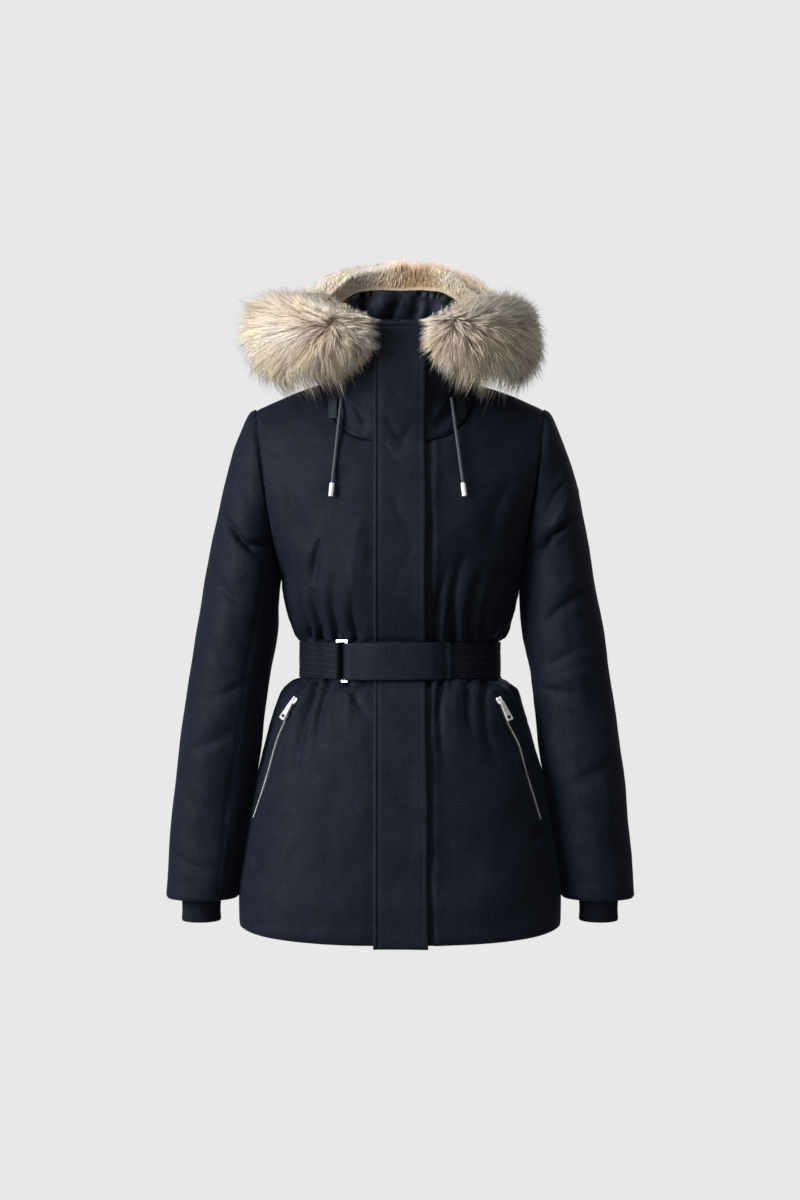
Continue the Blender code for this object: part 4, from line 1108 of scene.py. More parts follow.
def hood_layer(name, node, depth, thick, material, relief_of, painted_light_of=None):
    """The hood's shell or its lining, which shows its inner face."""
    lined = node == "hood_lining"
    columns, rows = LINING_GRID if lined else SHELL_GRID
    base = hood_grid(np.linspace(0, 1, columns), np.linspace(0, RIM, rows))
    normals = grid_normals(base)
    normals *= np.sign(np.sum(normals * (base - base.mean(axis=(0, 1)))))
    relief = relief_of(base, np.linspace(0, RIM, rows))
    outer = base + normals * (relief - depth)[..., None]
    inner = base - normals * (depth + thick) + normals * relief[..., None]
    outer, inner = rounded(outer, inner, 0.0020, "t")
    seen, hidden = (inner, outer) if lined else (outer, inner)
    # The lining's tone holds its painted light and shade.
    settle(shell(name, seen, hidden, material, tone=painted_light_of and painted_light_of(base)), node)


def shell_relief(base, steps):
    x, y = base[..., 0], base[..., 1]
    relief = ripple(base, 0.075, 0.0016, 71) + ripple(base, 0.030, 0.0006, 72)
    relief -= np.where(y < -0.03, fold_depth(base, HOOD_FOLDS), 0)
    # Two seams run over the hood from the neck to the rim.
    for middle in (-HOOD_SEAM_X, HOOD_SEAM_X):
        relief -= 0.0022 * near(x, middle, 0.0030) * ease(y, 0.02, 0.06)
    foot = away_from(base, base[:1])
    relief = relief * ease(foot, 0.0, 0.007)
    relief -= 0.0016 * near(foot, 0, 0.0030)
    relief += ripple(base, 0.014, 0.0006, 73) * near(foot, 0, 0.012)
    limit = 0.004 * ease(foot, 0.0, 0.012) * (1 - ease(steps, 5.2, 5.8))[:, None]
    beside_flap = ease(np.abs(x), 0.036, 0.048) + ease(y, -0.06, 0.0)
    return np.clip(relief, -0.0035, limit) * np.clip(beside_flap, 0, 1)


# The quilting lines of the lining, as angles round the hood from its back.
LINING_LINES = (-2.80, -2.25, -1.72, -1.22, -0.80, -0.42, -0.05, 0.15, 0.33, 0.60, 1.05, 1.52,
                2.02, 2.50, 3.00)


def lining_puffs(base):
    """Where each point lies across its puff (0 to 1), and how high the puff stands there."""
    angle = np.arctan2(base[..., 0], base[..., 1] - 0.03)
    angle = angle + 0.05 * np.sin(base[..., 2] / 0.016 + 3 * angle)
    lines = np.array(LINING_LINES)
    number = np.clip(np.searchsorted(lines, angle), 1, len(lines) - 1)
    wide = lines[number] - lines[number - 1]
    across = np.clip((angle - lines[number - 1]) / wide, 0, 1)
    return across, (1 - np.abs(2 * across - 1) ** 4) * np.clip(wide / 0.40, 0.4, 1.15) ** 0.7


def lining_relief(base, steps):
    """Uneven upright puffs between lines of quilting, drawn together below the rim."""
    _, puffs = lining_puffs(base)
    drawn = ease(steps, 1.0, 3.0)[:, None]
    relief = -(0.0008 + 0.0085 * puffs * drawn)
    relief = relief * (0.80 + ripple(base, 0.05, 0.30, 81))
    relief += ripple(base, 0.018, 0.0012, 82) * drawn
    # The cloth sinks behind the rim's facing.
    relief = mix(-0.0006, relief, ease(away_from(base, base[-1:]), 0.003, 0.012))
    return np.clip(relief, -0.0115, -0.0002) + np.minimum(shell_relief(base, steps), 0)


def lining_painted_light(base):
    """Painted shade in the quilting lines and under the rim, and painted satin highlights on the puffs."""
    across, puffs = lining_puffs(base)
    # A painted highlight, in streaks, on one side of each puff, and painted shade in the quilting lines
    # between them.
    streaks = ripple(base * np.array((1, 1, 0.45)), 0.011, 0.75, 83)
    light = near(across, 0.38, 0.20) * (1 + streaks)
    tone = 0.22 + 0.45 * puffs + 1.30 * np.clip(light, 0, None)
    # Painted shade under the rim.
    return mix(0.15, tone, ease(away_from(base, base[-1:]), 0.006, 0.013))


# ---- Storm flap ----


HALVINGS, STEP_HALVINGS = 34, 26
SEAM_REACH, SEAM_PASSES = 16, 30   # rows smoothed to each side of the neck seam, and how often


def share_at_x(point_at, x, high):
    """By halving: the parameter of each row at which the surface has this x."""
    low = np.zeros_like(high)
    for _ in range(HALVINGS):
        middle = (low + high) / 2
        less = point_at(middle)[..., 0] < x
        low, high = np.where(less, middle, low), np.where(less, high, middle)
    return low


def front_skin(x, place):
    """Points on the front at signed distances x; place up to 2 is the torso's t, and
    past 2 the hood's step + 2."""
    x, place = np.broadcast_arrays(np.asarray(x, float), np.asarray(place, float))
    away = np.abs(x)
    t, step = np.minimum(place, 2.0), np.clip(place - 2, 0, RIM)
    s = share_at_x(lambda a: torso_point(a, t, True), away, np.full(x.shape, 0.5))
    turn = share_at_x(lambda a: hood_point(a, step), away, np.full(x.shape, 0.5))
    point = np.where((place <= 2)[..., None], torso_point(s, t, True), hood_point(turn, step))
    point[..., 0] *= np.sign(x) + (x == 0)
    return point


def over_seam(grid, row):
    """Draws a grid smooth down its rows where it passes over the neck seam."""
    low, high = row - SEAM_REACH, row + SEAM_REACH
    for _ in range(SEAM_PASSES):
        middle = (grid[low - 1:high - 1] + grid[low + 1:high + 1]) / 2
        grid[low:high] = mix(grid[low:high], middle, 0.5)
    return grid


# Rows on the body, the chest and the hood, and how far up the hood they reach.
FLAP_ROWS, FLAP_COLUMNS, FLAP_REACH = (220, 90, 70), 38, 5.8
FLAP_TOP_STITCH, FLAP_FREE_STITCH, FLAP_SEWN_STITCH = 0.0065, 0.0068, 0.0030


def storm_flap():
    body, chest, hood = FLAP_ROWS
    places = np.concatenate((np.linspace(0, 1, body), np.linspace(1, 2, chest)[1:],
                             np.linspace(2, 2 + FLAP_REACH, hood)[1:]))
    across = np.sin(np.linspace(-math.pi / 2, math.pi / 2, FLAP_COLUMNS))
    middle, half = (FLAP_RIGHT_EDGE + FLAP_LEFT_EDGE) / 2, (FLAP_LEFT_EDGE - FLAP_RIGHT_EDGE) / 2
    heights = front_skin(np.zeros(1), places)[:, 2]
    widen = 0.0030 * ease(-heights, 0.25, 0.70) - 0.0010
    x = middle + across[None, :] * (half + widen[:, None] * (across[None, :] > 0))
    x = np.clip(x + 0.0006 * np.sin(heights / 0.031)[:, None] * (across[None, :] > 0.8),
                FLAP_RIGHT_EDGE - 0.001, 0.038)
    base = front_skin(x, places[:, None])
    normals = grid_normals(base)
    normals *= np.sign(-np.sum(normals[..., 1]))
    normals = unit(normals + np.array((0, -0.6, 0)))
    seam = int(np.searchsorted(places, 2.0))
    base, normals = over_seam(base, seam), over_seam(normals, seam)
    z = base[..., 2]
    held = held_by_belt(z, 0.0025)
    edge_left = FLAP_LEFT_EDGE + widen[:, None] - x
    edge_right = x - FLAP_RIGHT_EDGE
    relief = ripple(base, 0.060, 0.0010, 91) - fold_depth(base, FLAP_FOLDS)
    # A soft ridge beside the sewn edge, and a flat topstitched free edge.
    relief += 0.0009 * near(edge_right, FLAP_SEWN_STITCH, 0.0020)
    relief -= 0.0013 * near(edge_right, 0.0062, 0.0012)
    relief -= 0.0008 * near(edge_left, FLAP_FREE_STITCH, 0.0009)
    relief += 0.0003 * ease(edge_left, 0.008, 0.020)
    relief -= 0.0014 * near(base[-1:, :, 2] - z, FLAP_TOP_STITCH, 0.0012)
    relief = np.clip(relief, -0.0028, 0.0042) * (1 - held)
    lift = 0.0024 * ease(x, 0.012, 0.034) * (1 - held) * (0.8 + 0.35 * np.sin(z / 0.047))
    outer = base + normals * (2 * GAP + FLAP_WALL - 0.0006 + relief + lift)[..., None]
    inner = base + normals * (GAP + lift * 0.9)[..., None]
    drop = FLAP_DROP * (1 - ease(heights, HEM_Z, HEM_Z + 0.06))[:, None]
    outer[..., 2] -= drop
    inner[..., 2] -= drop
    outer, inner = rounded(outer, inner, 0.0016)
    made = shell("storm_flap_cloth", outer, inner, MATERIALS["placket"])
    settle(made, "storm_flap")
    below = outer.shape[0] - 1 - int(np.searchsorted(-z[::-1, 0], FLAP_TOP_STITCH - z[-1, 0]))
    top_line = outer[below, 2:-2], ahead(outer.shape[1] - 4)
    stitches("flap_stitches", [
        down_rows(outer, lambda r: near_column(x[r], FLAP_LEFT_EDGE + widen[r] - FLAP_FREE_STITCH)),
        down_rows(outer, lambda r: near_column(x[r], FLAP_RIGHT_EDGE + FLAP_SEWN_STITCH)),
        top_line,
    ])


def ahead(count):
    """Normals that all face the front."""
    return np.tile((0.0, -1.0, 0.0), (count, 1))


def near_column(xs, at):
    """A fractional column of a rising row at which x reaches a value."""
    return float(np.interp(at, xs, np.arange(len(xs))))


STITCH_PITCH, STITCH_LONG, STITCH_RADIUS = 0.0034, 0.0024, 0.00034


def lay_stitches(path, normals):
    """Short raised threads along a path: points and faces of small beads."""
    run = run_along(path)
    starts = np.arange(STITCH_PITCH, run[-1] - STITCH_PITCH, STITCH_PITCH)
    points, faces = [], []
    for start in starts:
        ends = []
        for at in (start, start + STITCH_LONG / 2, start + STITCH_LONG):
            ends.append(read_at(run, path, at))
        out = unit(read_at(run, normals, start))
        way = unit(ends[2] - ends[0])
        side = np.cross(way, out)
        first = len(points)
        for place, (size, lift) in zip(ends, ((0.35, -0.2), (1.0, 0.55), (0.35, -0.2))):
            for turn in range(4):
                angle = math.pi / 4 + turn * math.pi / 2
                points.append(place + STITCH_RADIUS * (
                    size * (side * math.cos(angle) + out * math.sin(angle)) + out * lift))
        faces += ring_faces(first, 3, 4)
        faces += [(first + 3, first + 2, first + 1, first),
                  (first + 8, first + 9, first + 10, first + 11)]
    return points, faces


def stitches(name, paths):
    """One joined piece of stitches along lines of points, raised along given normals."""
    points, faces = [], []
    for path, normals in paths:
        more, joined = lay_stitches(path, normals)
        faces += [tuple(i + len(points) for i in face) for face in joined]
        points += more
    made = face_out(add_object(name, np.array(points), np.array(faces), MATERIALS["stitch"]))
    settle(made)


def down_rows(grid, column_of):
    """The line down a grid at a fractional column of each row, and normals for it."""
    path = []
    for r in range(2, len(grid) - 2):
        column = column_of(r)
        k = min(int(column), grid.shape[1] - 2)
        path.append(mix(grid[r, k], grid[r, k + 1], column - k))
    return np.array(path), ahead(len(path))


# ---- Belt ----

WAIST_T = (WAIST_Z - HEM_Z) / (UNDERARM_Z - HEM_Z)


def waist_point(turn):
    turn %= 2
    sign = 1 if turn <= 1 else -1
    turn = turn if turn <= 1 else 2 - turn
    front = turn <= 0.5
    point = torso_point(2 * turn if front else 2 - 2 * turn, WAIST_T, front)
    return np.array((sign * point[0], point[1]))


def waist_out(turn):
    way = waist_point(turn + 0.004) - waist_point(turn - 0.004)
    return unit(np.array((way[1], -way[0])))


def off_waist(turn, lift):
    return waist_point(turn) + waist_out(turn) * lift


def turn_at_x(x):
    shares = np.linspace(0, 0.6, 400)
    xs = torso_point(2 * shares * 0.5, WAIST_T, True)[:, 0]
    turn = float(np.interp(abs(x), xs, shares * 0.5))
    return turn if x >= 0 else 2 - turn


def belt_route():
    """The belt's middle line in plan, as the CAD solid has it."""
    turn = turn_at_x(BUCKLE_X)
    out = waist_out(turn)
    side = np.array((-out[1], out[0]))
    middle = waist_point(turn) + out * BUCKLE_RISE
    bar = (BUCKLE_WIDE - BUCKLE_WIRE) / 2
    bend = BUCKLE_WIRE / 2 + GAP + BELT_THICK / 2 + 0.0004

    def round_bar(bar, first, last, steps):
        angles = [math.radians(mix(first, last, k / steps)) for k in range(steps + 1)]
        return [middle + side * bar + side * bend * math.cos(angle)
                + out * bend * math.sin(angle) for angle in angles]

    route = round_bar(-bar, -80, 90, 8)
    start, stop = 2 - turn_at_x(abs(BUCKLE_X) + 0.036), turn_at_x(STRAP_END_X + 0.012)
    lie = BELT_BODY_GAP + BELT_THICK / 2
    rise_left = BUCKLE_RISE + bend
    near_turn = 2 - turn_at_x(abs(BUCKLE_X) + 0.0150)
    for k in range(4):
        turn = mix(near_turn, start, k / 3)
        lift = mix(rise_left, lie, ease(k / 3, 0, 1))
        route.append(off_waist(turn, lift))
    first, last = math.floor(start * 40) - 1, math.ceil(stop * 40) - 1
    for k in range(first, last, -1):
        route.append(off_waist(k / 40, lie))
    flap_lift = FLAP_WALL + 2 * GAP
    for x in (0.060, 0.052, 0.044, 0.036, 0.018, 0.0, -0.018, -0.036, -0.043, -0.050, -0.056):
        turn = turn_at_x(x)
        lift = lie + flap_lift * (1 - ease(abs(x), 0.036, 0.050 if x < 0 else 0.060))
        route.append(off_waist(turn, lift))
    route += round_bar(bar, -90, -270, 10)
    step = BELT_THICK + 0.0006
    for x in (-0.050, -0.043, -0.036, -0.018, 0.0, 0.018, 0.036, 0.044, 0.052, 0.060, STRAP_END_X):
        turn = turn_at_x(x)
        lift = lie + flap_lift * (1 - ease(abs(x), 0.036, 0.060)) + step
        if x < -0.036:
            lift = max(lift, mix(rise_left, lift, ease(x, -0.056, -0.034)))
        route.append(off_waist(turn, lift))
    return np.array(route)


def smooth_route(route, spacing):
    """Evenly spaced points on a smooth curve through a route's points."""
    padded = np.concatenate((route[:1], route, route[-1:]))
    fine = []
    for a, b, c, d in zip(padded, padded[1:], padded[2:], padded[3:]):
        for t in np.linspace(0, 1, 12, endpoint=False):
            fine.append(0.5 * (2 * b + (c - a) * t + (2 * a - 5 * b + 4 * c - d) * t * t
                               + (3 * b - a - 3 * c + d) * t ** 3))
    fine = np.array(fine + [route[-1]])
    run = run_along(fine)
    at = np.linspace(0, run[-1], int(run[-1] / spacing))
    return read_at(run, fine, at), at


BELT_STITCH_ROWS = 6
BELT_SPACING, BELT_ROWS = 0.0023, 37
STRAP_LONG, STRAP_SEWN = 0.150, 0.125
STRAP_STITCH, STRAP_SIDE_STITCH = 0.0092, 0.80      # from its end, and as a share of its half


def belt():
    route, run = smooth_route(belt_route(), BELT_SPACING)
    way = unit(np.gradient(route, axis=0))
    aside = np.stack((way[:, 1], -way[:, 0]), axis=1)
    across = np.sin(np.linspace(-math.pi / 2, math.pi / 2, BELT_ROWS))
    is_strap = run > run[-1] - STRAP_LONG
    z = WAIST_Z + across[:, None] * (BELT_HALF - 0.0003) + 0 * run[None, :]
    z = z + 0.0006 * np.sin(run / 0.045)[None, :]
    rows = np.cos((across + 1) / 2 * math.pi * (BELT_STITCH_ROWS + 1)) ** 24
    grooves = -0.00045 * rows[:, None] * (~is_strap)[None, :]
    sewn = near(np.abs(across), STRAP_SIDE_STITCH, 0.035)
    grooves = grooves - 0.0006 * sewn[:, None] * is_strap[None, :]
    uneven = ripple(stack(run[None, :], 0.0, across[:, None] * 0.02), 0.030, 0.00035, 101)
    # The strap's hem is turned under, and its end curls a little off the belt.
    left_over = run[-1] - run
    swell = grooves + uneven + (0.0007 * near(left_over, 0.004, 0.0035)
                                + 0.0016 * np.exp(-(left_over / 0.0085) ** 1.5))[None, :]
    swell = swell - 0.0008 * near(left_over, STRAP_STITCH, 0.0009)[None, :]
    grids = []
    for sign in (1, -1):
        offset = BELT_THICK / 2 + (swell if sign < 0 else 0 * swell)
        x = route[None, :, 0] + sign * aside[None, :, 0] * offset
        y = route[None, :, 1] + sign * aside[None, :, 1] * offset
        grids.append(stack(x, y, z))
    outer, inner = rounded(grids[1], grids[0], 0.0011)
    # The strap is of a paler cloth than the belt, and lighter along its top and bottom edges; the bright
    # band at its turned hem is a painted highlight, and the dark line across it at the end stitch is
    # painted shade.
    rim = near(np.abs(across), 0.93, 0.05)[:, None]
    strap_paleness_and_painted_light = 1.10 + 0.30 * rim + 2.2 * np.exp(-(left_over / 0.0050) ** 4)[None, :]
    strap_paleness_and_painted_light = strap_paleness_and_painted_light * (1 - 0.6 * near(left_over, STRAP_STITCH, 0.0012))[None, :]
    # Darker along the belt's rows of stitches, as painted shade in their grooves.
    tone = np.where(is_strap[None, :], strap_paleness_and_painted_light, 0.72 * (1 - 0.45 * rows[:, None]))
    made = shell("belt_cloth_strip", outer, inner, MATERIALS["belt"], tone=tone)
    settle(made, "belt")
    normals = grid_normals(grids[1])
    normals *= np.sign(np.sum(normals[:, :, 0] * aside[None, :, 0] * -1))
    lines = []
    # Rows of stitches show beside the buckle and past the strap's end, on the front.
    in_front = np.flatnonzero((route[:, 1] < 0) & ~is_strap & (run > 0.02))
    for part in np.split(in_front, np.flatnonzero(np.diff(in_front) > 1) + 1):
        for k in range(1, BELT_STITCH_ROWS + 1):
            row = np.abs(across - (2 * k / (BELT_STITCH_ROWS + 1) - 1)).argmin()
            lines.append((grids[1][row, part], normals[row, part]))
    strap = np.flatnonzero(run > run[-1] - STRAP_SEWN)
    for row in (np.abs(across - STRAP_SIDE_STITCH).argmin(),
                np.abs(across + STRAP_SIDE_STITCH).argmin()):
        lines.append((grids[1][row, strap], normals[row, strap]))
    end = np.abs(left_over - STRAP_STITCH).argmin()
    lines.append((grids[1][3:-3, end], normals[3:-3, end]))
    stitches("belt_stitches", lines)


# ---- Pocket zips ----


def skirt_at(x, z):
    t = (z - HEM_Z) / (UNDERARM_Z - HEM_Z)
    s = share_at_x(lambda a: torso_point(a, t, True), x, np.ones_like(x))
    d = 0.004                      # in s and in t, to either side
    across = torso_point(np.minimum(s + d, 1), t, True) - torso_point(s - d, t, True)
    rising = torso_point(s, t + d, True) - torso_point(s, t - d, True)
    return torso_point(s, t, True), unit(np.cross(across, rising))


TAPE_ROWS, TAPE_COLUMNS, TAPE_HALF = 150, 9, 0.0030
TOOTH_PITCH, TOOTH_WIDE, TOOTH_LONG, TOOTH_HIGH = 0.0023, 0.0012, 0.0008, 0.0011


def block(points, faces, middle, across, out, down, size):
    """Adds one small block with a narrowed top."""
    first = len(points)
    for lift, k in ((-0.5, 1.0), (0.5, 0.7)):
        for a, d in ((-1, -1), (1, -1), (1, 1), (-1, 1)):
            points.append(middle + across * a * k * size[0] / 2 + out * lift * size[1]
                          + down * d * k * size[2] / 2)
    faces.append((first + 3, first + 2, first + 1, first))
    faces.append((first + 4, first + 5, first + 6, first + 7))
    faces.extend(ring_faces(first, 2, 4))


def pocket_zip(side, sign):
    z = np.linspace(POCKET_ZIP[0].z, POCKET_ZIP[-1].z, TAPE_ROWS)
    x = along(POCKET_ZIP, "z", side, z)
    path, normals = skirt_at(x, z)
    down = unit(np.gradient(path, axis=0))
    across = unit(np.cross(down, normals))
    shares = np.linspace(-1, 1, TAPE_COLUMNS)[None, :, None]
    base = path[:, None] + across[:, None] * shares * TAPE_HALF
    outer = base + normals[:, None] * (0.0008 - 0.0003 * shares ** 2)
    inner = base + normals[:, None] * 0.0001
    flip = np.array((sign, 1, 1))
    tape = shell("zip_tape_" + side, outer * flip, inner * flip, MATERIALS["tape"])
    settle(tape)
    run = run_along(path)
    points, faces = [], []
    for k, at in enumerate(np.arange(0.0006, run[-1], TOOTH_PITCH / 2)):
        spot, out, way, aside = (read_at(run, grid, at) for grid in (path, normals, down, across))
        spot = spot + out * 0.0013 + aside * (0.0006 if k % 2 else -0.0006)
        block(points, faces, spot, aside, out, way, (TOOTH_WIDE, TOOTH_HIGH, TOOTH_LONG))
    teeth = face_out(add_object("zip_teeth_" + side, np.array(points) * flip, np.array(faces),
                                MATERIALS["zip"], smooth=False))
    settle(teeth, "pocket_zip_" + side)


# ---- Drawcords ----


def chest_at(x, z):
    return chest_point(x, rise_at(x, z), True)


def chest_facing(x, z):
    d = 0.002
    return unit(np.cross(chest_at(x + d, z) - chest_at(x - d, z),
                         chest_at(x, z + d) - chest_at(x, z - d)))


def upper_front(x, z):
    """Points and normals on the hood or, below the neck seam, on the chest."""
    x, z = np.broadcast_arrays(np.asarray(x, float), np.asarray(z, float))
    seam = neckline(np.arcsin(np.minimum(x / NECK_HALF_WIDTH, 1.0)) / (math.pi / 2), True)[1]
    low, high = np.zeros(x.shape), np.full(x.shape, 3.0)
    for _ in range(STEP_HALVINGS):
        step = (low + high) / 2
        turn = share_at_x(lambda a: hood_point(a, step), x, np.full(x.shape, 0.5))
        below = hood_point(turn, step)[..., 2] < z
        low, high = np.where(below, step, low), np.where(below, high, step)
    on_hood = (z > seam)[..., None]
    return (np.where(on_hood, hood_point(turn, step), chest_at(x, z)),
            np.where(on_hood, hood_normal(turn, step), chest_facing(x, z)))


def hang(points):
    """Draws runs of points (first axis) taut over what stands out under them."""
    for _ in range(40):
        for k in range(1, len(points) - 1):
            points[k, ..., 1] = np.minimum(points[k, ..., 1], (points[k - 1, ..., 1]
                                                               + points[k + 1, ..., 1]) / 2)
    return points


def cord_points(side, sign):
    """The cord's route, the same as its CAD solid's."""
    cord = DRAWCORDS[side]
    share = np.linspace(0, 1, CORD_PIECES + 1)
    x, z = mix(cord.top_x, cord.low_x, share), mix(cord.top_z, cord.low_z, share)
    skin, normal = upper_front(x, z)
    lift = normal * (CORD_WIDE / 2 + CORD_LIFT)
    return hang(stack(sign * x, skin[:, 1] + lift[:, 1], z + lift[:, 2]))


def drawcord(side, sign):
    route = cord_points(side, sign)
    data = bpy.data.curves.new("drawcord_line_" + side, "CURVE")
    data.dimensions = "3D"
    data.bevel_depth = CORD_WIDE / 2
    data.bevel_resolution = 4
    data.use_fill_caps = True
    line = data.splines.new("POLY")
    line.points.add(len(route) - 1)
    for spot, point in zip(line.points, route):
        spot.co = (*point, 1)
    data.materials.append(MATERIALS["cord"])
    made = bpy.data.objects.new("drawcord_line_" + side, data)
    bpy.context.scene.collection.objects.link(made)
    settle(made, "drawcord_" + side)
    paint("cord_end_" + side, "metal")


TAB_ROWS, TAB_COLUMNS = 34, 22


def cord_tab(side, sign):
    tab = TABS[side]
    x = np.linspace(tab.near_x, tab.far_x, TAB_COLUMNS)
    z = np.linspace(tab.low_z, tab.high_z, TAB_ROWS)
    skin, normal = upper_front(x[None, :], z[:, None])
    inner = hang(stack(sign * x[None, :], skin[..., 1] + normal[..., 1] * TAB_LIFT, z[:, None]))
    edge = np.minimum(np.minimum(x - x[0], x[-1] - x)[None, :],
                      np.minimum(z - z[0], z[-1] - z)[:, None])
    thick = TAB_THICK - 0.0006 * near(edge, 0.0020, 0.0006)
    outer = inner + stack(0.0, -thick, 0.0)
    outer, inner = rounded(outer, inner, 0.0010)
    made = shell("cord_tab_cloth_" + side, outer, inner, MATERIALS["tab"])
    settle(made, "cord_tab_" + side)


def paint(node, material):
    """A CAD node that keeps its shape and gets a detailed material."""
    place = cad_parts[node].material_slots[0]
    place.link = "OBJECT"
    place.material = MATERIALS[material]


# ---- Fur ----

CREAM, STRAW, ASH, ROSY, UMBER, BARK, GOLD = np.array((
    (1.00, 0.95, 0.85), (1.00, 0.81, 0.50), (0.72, 0.62, 0.53), (0.64, 0.50, 0.44),
    (0.60, 0.48, 0.38), (0.30, 0.24, 0.19), (0.70, 0.43, 0.20)))
CORE_ROWS, CORE_COLUMNS = 220, 26
CORE_SHARE = 0.58                  # of the hair's reach
LOBE_HAIRS, BACK_HAIRS = (12800, 6500, 300), (4600, 3000, 4200)  # long, short, inner
# Where each front end's hair parts, as (turn, angle): on -X and on +X.
SWIRLS = ((0.170, -0.22), (0.135, -0.13))


def fur_core():
    turns = np.linspace(FUR_FIRST, 2 - FUR_FIRST, CORE_ROWS)
    angles = np.linspace(-math.pi / 2, math.pi / 2, CORE_COLUMNS)
    base = fur_point(turns[:, None] + 0 * angles, angles[None, :] + 0 * turns[:, None],
                     CORE_SHARE)
    base += (ripple(base, 0.012, 0.0022, 111))[..., None] * unit(
        base - base.mean(axis=1, keepdims=True))
    base[0] = mix(base[0], base[0].mean(axis=0), 0.75)
    base[-1] = mix(base[-1], base[-1].mean(axis=0), 0.75)
    # The backing reaches in to the hood, so that no gap shows from above.
    start, out, up, _ = fur_frame(turns)
    gap = 0.0025 + fur_gap(np.minimum(turns, 2 - turns))[:, None]
    backing = (start + up * 0.001, start - out * gap - up * 0.003,
               start - out * gap - up * 0.010, start - up * 0.016)
    base = np.concatenate((base, np.stack(backing, axis=1)), axis=1)
    rows, columns = base.shape[:2]
    index = numbered(rows, columns)
    index = np.concatenate((index, index[:, :1]), axis=1)
    caps = []
    for row in (index[0], index[-1]):
        for k in range(1, columns // 2):
            caps.append((row[k], row[k - 1], row[columns - k], row[columns - k - 1]))
    sides = grid_faces(index)
    made = face_out(add_object("fur_undercoat", base, np.concatenate((sides, np.array(caps))),
                               MATERIALS["undercoat"]))
    settle(made, "fur_trim")


def in_locks(rng, turn, angle, span, count):
    """Draws hairs that start near one another towards one tip, as fur clumps."""
    lock_turn = rng.uniform(*span, count)
    lock_angle = np.arcsin(rng.uniform(-1, 1, count))
    nearest = np.empty(len(turn), int)
    for part in np.array_split(np.arange(len(turn)), 12):
        away = (turn[part, None] - lock_turn) ** 2 * 5.0 + (
            angle[part, None] - lock_angle) ** 2 * 0.10
        nearest[part] = away.argmin(axis=1)
    return nearest, lock_turn[nearest], lock_angle[nearest]


def combed(rng, turn, angle, span, long):
    """Where each hair's tip goes, away from the swirl near each front end."""
    count = len(turn)
    locks = max(count // 22, 8)
    nearest, lock_turn, lock_angle = in_locks(rng, turn, angle, span, locks)
    pull = np.where(long, 0.55, 0.25)
    tip_turn, tip_angle = mix(turn, lock_turn, pull), mix(angle, lock_angle, pull * 0.9)
    on_left = turn <= 1
    half = np.where(on_left, tip_turn, 2 - tip_turn)
    swirl_turn = np.where(on_left, SWIRLS[1][0], SWIRLS[0][0])
    swirl_angle = np.where(on_left, SWIRLS[1][1], SWIRLS[0][1])
    away_turn, away_angle = (half - swirl_turn) * 4.2, tip_angle - swirl_angle
    reach = np.hypot(away_turn, away_angle) + 0.10
    beside = near(half, swirl_turn, 0.28)
    comb = 0.16 * mix(0.30, 1.0, beside) * np.where(long, 1.0, 0.45)
    sway = rng.normal(0, 1, (locks, 2))[nearest]
    half = half + comb * away_turn / reach * 0.42 + sway[:, 0] * 0.008
    half += 0.020 * (1 - beside) * (1 - ease(half, 0.70, 0.98)) + rng.normal(0, 0.006, count)
    tip_angle = tip_angle + comb * away_angle / reach * 2.6 - 0.06 * (1 - beside)
    tip_angle += sway[:, 1] * 0.06 + rng.normal(0, 0.05, count)
    half = np.clip(half, FUR_FIRST - 0.02, 1.04)
    return np.where(on_left, half, 2 - half), np.clip(tip_angle, -1.75, 1.75), nearest


def outer_hairs(rng, span, long_count, short_count):
    """Hairs on the fur's round side: root, middle, tip, radius, and what colours them."""
    count = long_count + short_count
    long = np.arange(count) < long_count
    turn, angle = rng.uniform(*span, count), np.arcsin(rng.uniform(-1, 1, count)) * 1.02
    depth = rng.uniform(0.42, 0.62, count)
    tip_turn, tip_angle, nearest = combed(rng, turn, angle, span, long)
    locks = nearest.max() + 1
    size = rng.uniform(0.90, 1.05, locks)[nearest] * rng.uniform(0.80, 1.10, count)
    size = np.where(long, size, rng.uniform(0.72, 0.90, count))
    size = np.where(rng.uniform(0, 1, count) < 0.07, size * 1.13, size)
    root = fur_point(turn, angle, depth)
    tip = fur_point(tip_turn, np.clip(tip_angle, -1.55, 1.55), size)
    _, out, up, _ = fur_frame(tip_turn)
    over = np.clip(np.abs(tip_angle) - 1.25, 0, None) * np.sign(tip_angle)
    tip += up * (over * 0.010)[:, None] - out * (np.abs(over) * 0.055)[:, None]
    # Near the front ends the hairs also fan out past the core, towards the flap.
    half = np.where(tip_turn <= 1, tip_turn, 2 - tip_turn)
    end = np.clip((FUR_FIRST + 0.05 - half) / 0.05, 0, 1)
    tip[:, 0] -= np.where(turn <= 1, 1, -1) * end * rng.uniform(0.000, 0.012, count)
    tip[:, 2] -= 0.003
    outward = fur_point(turn, angle, depth + 0.25) - root
    middle = root + unit(outward) * (np.linalg.norm(tip - root, axis=1) * 0.55)[:, None]
    middle = mix(middle, (root + tip) / 2, 0.45) + rng.normal(0, 0.0010, (count, 3))
    thick = np.where(long, rng.uniform(0.00022, 0.00044, count),
                     rng.uniform(0.00040, 0.00065, count))
    return root, middle, tip, thick, rng.uniform(-0.20, 0.20, locks)[nearest], long


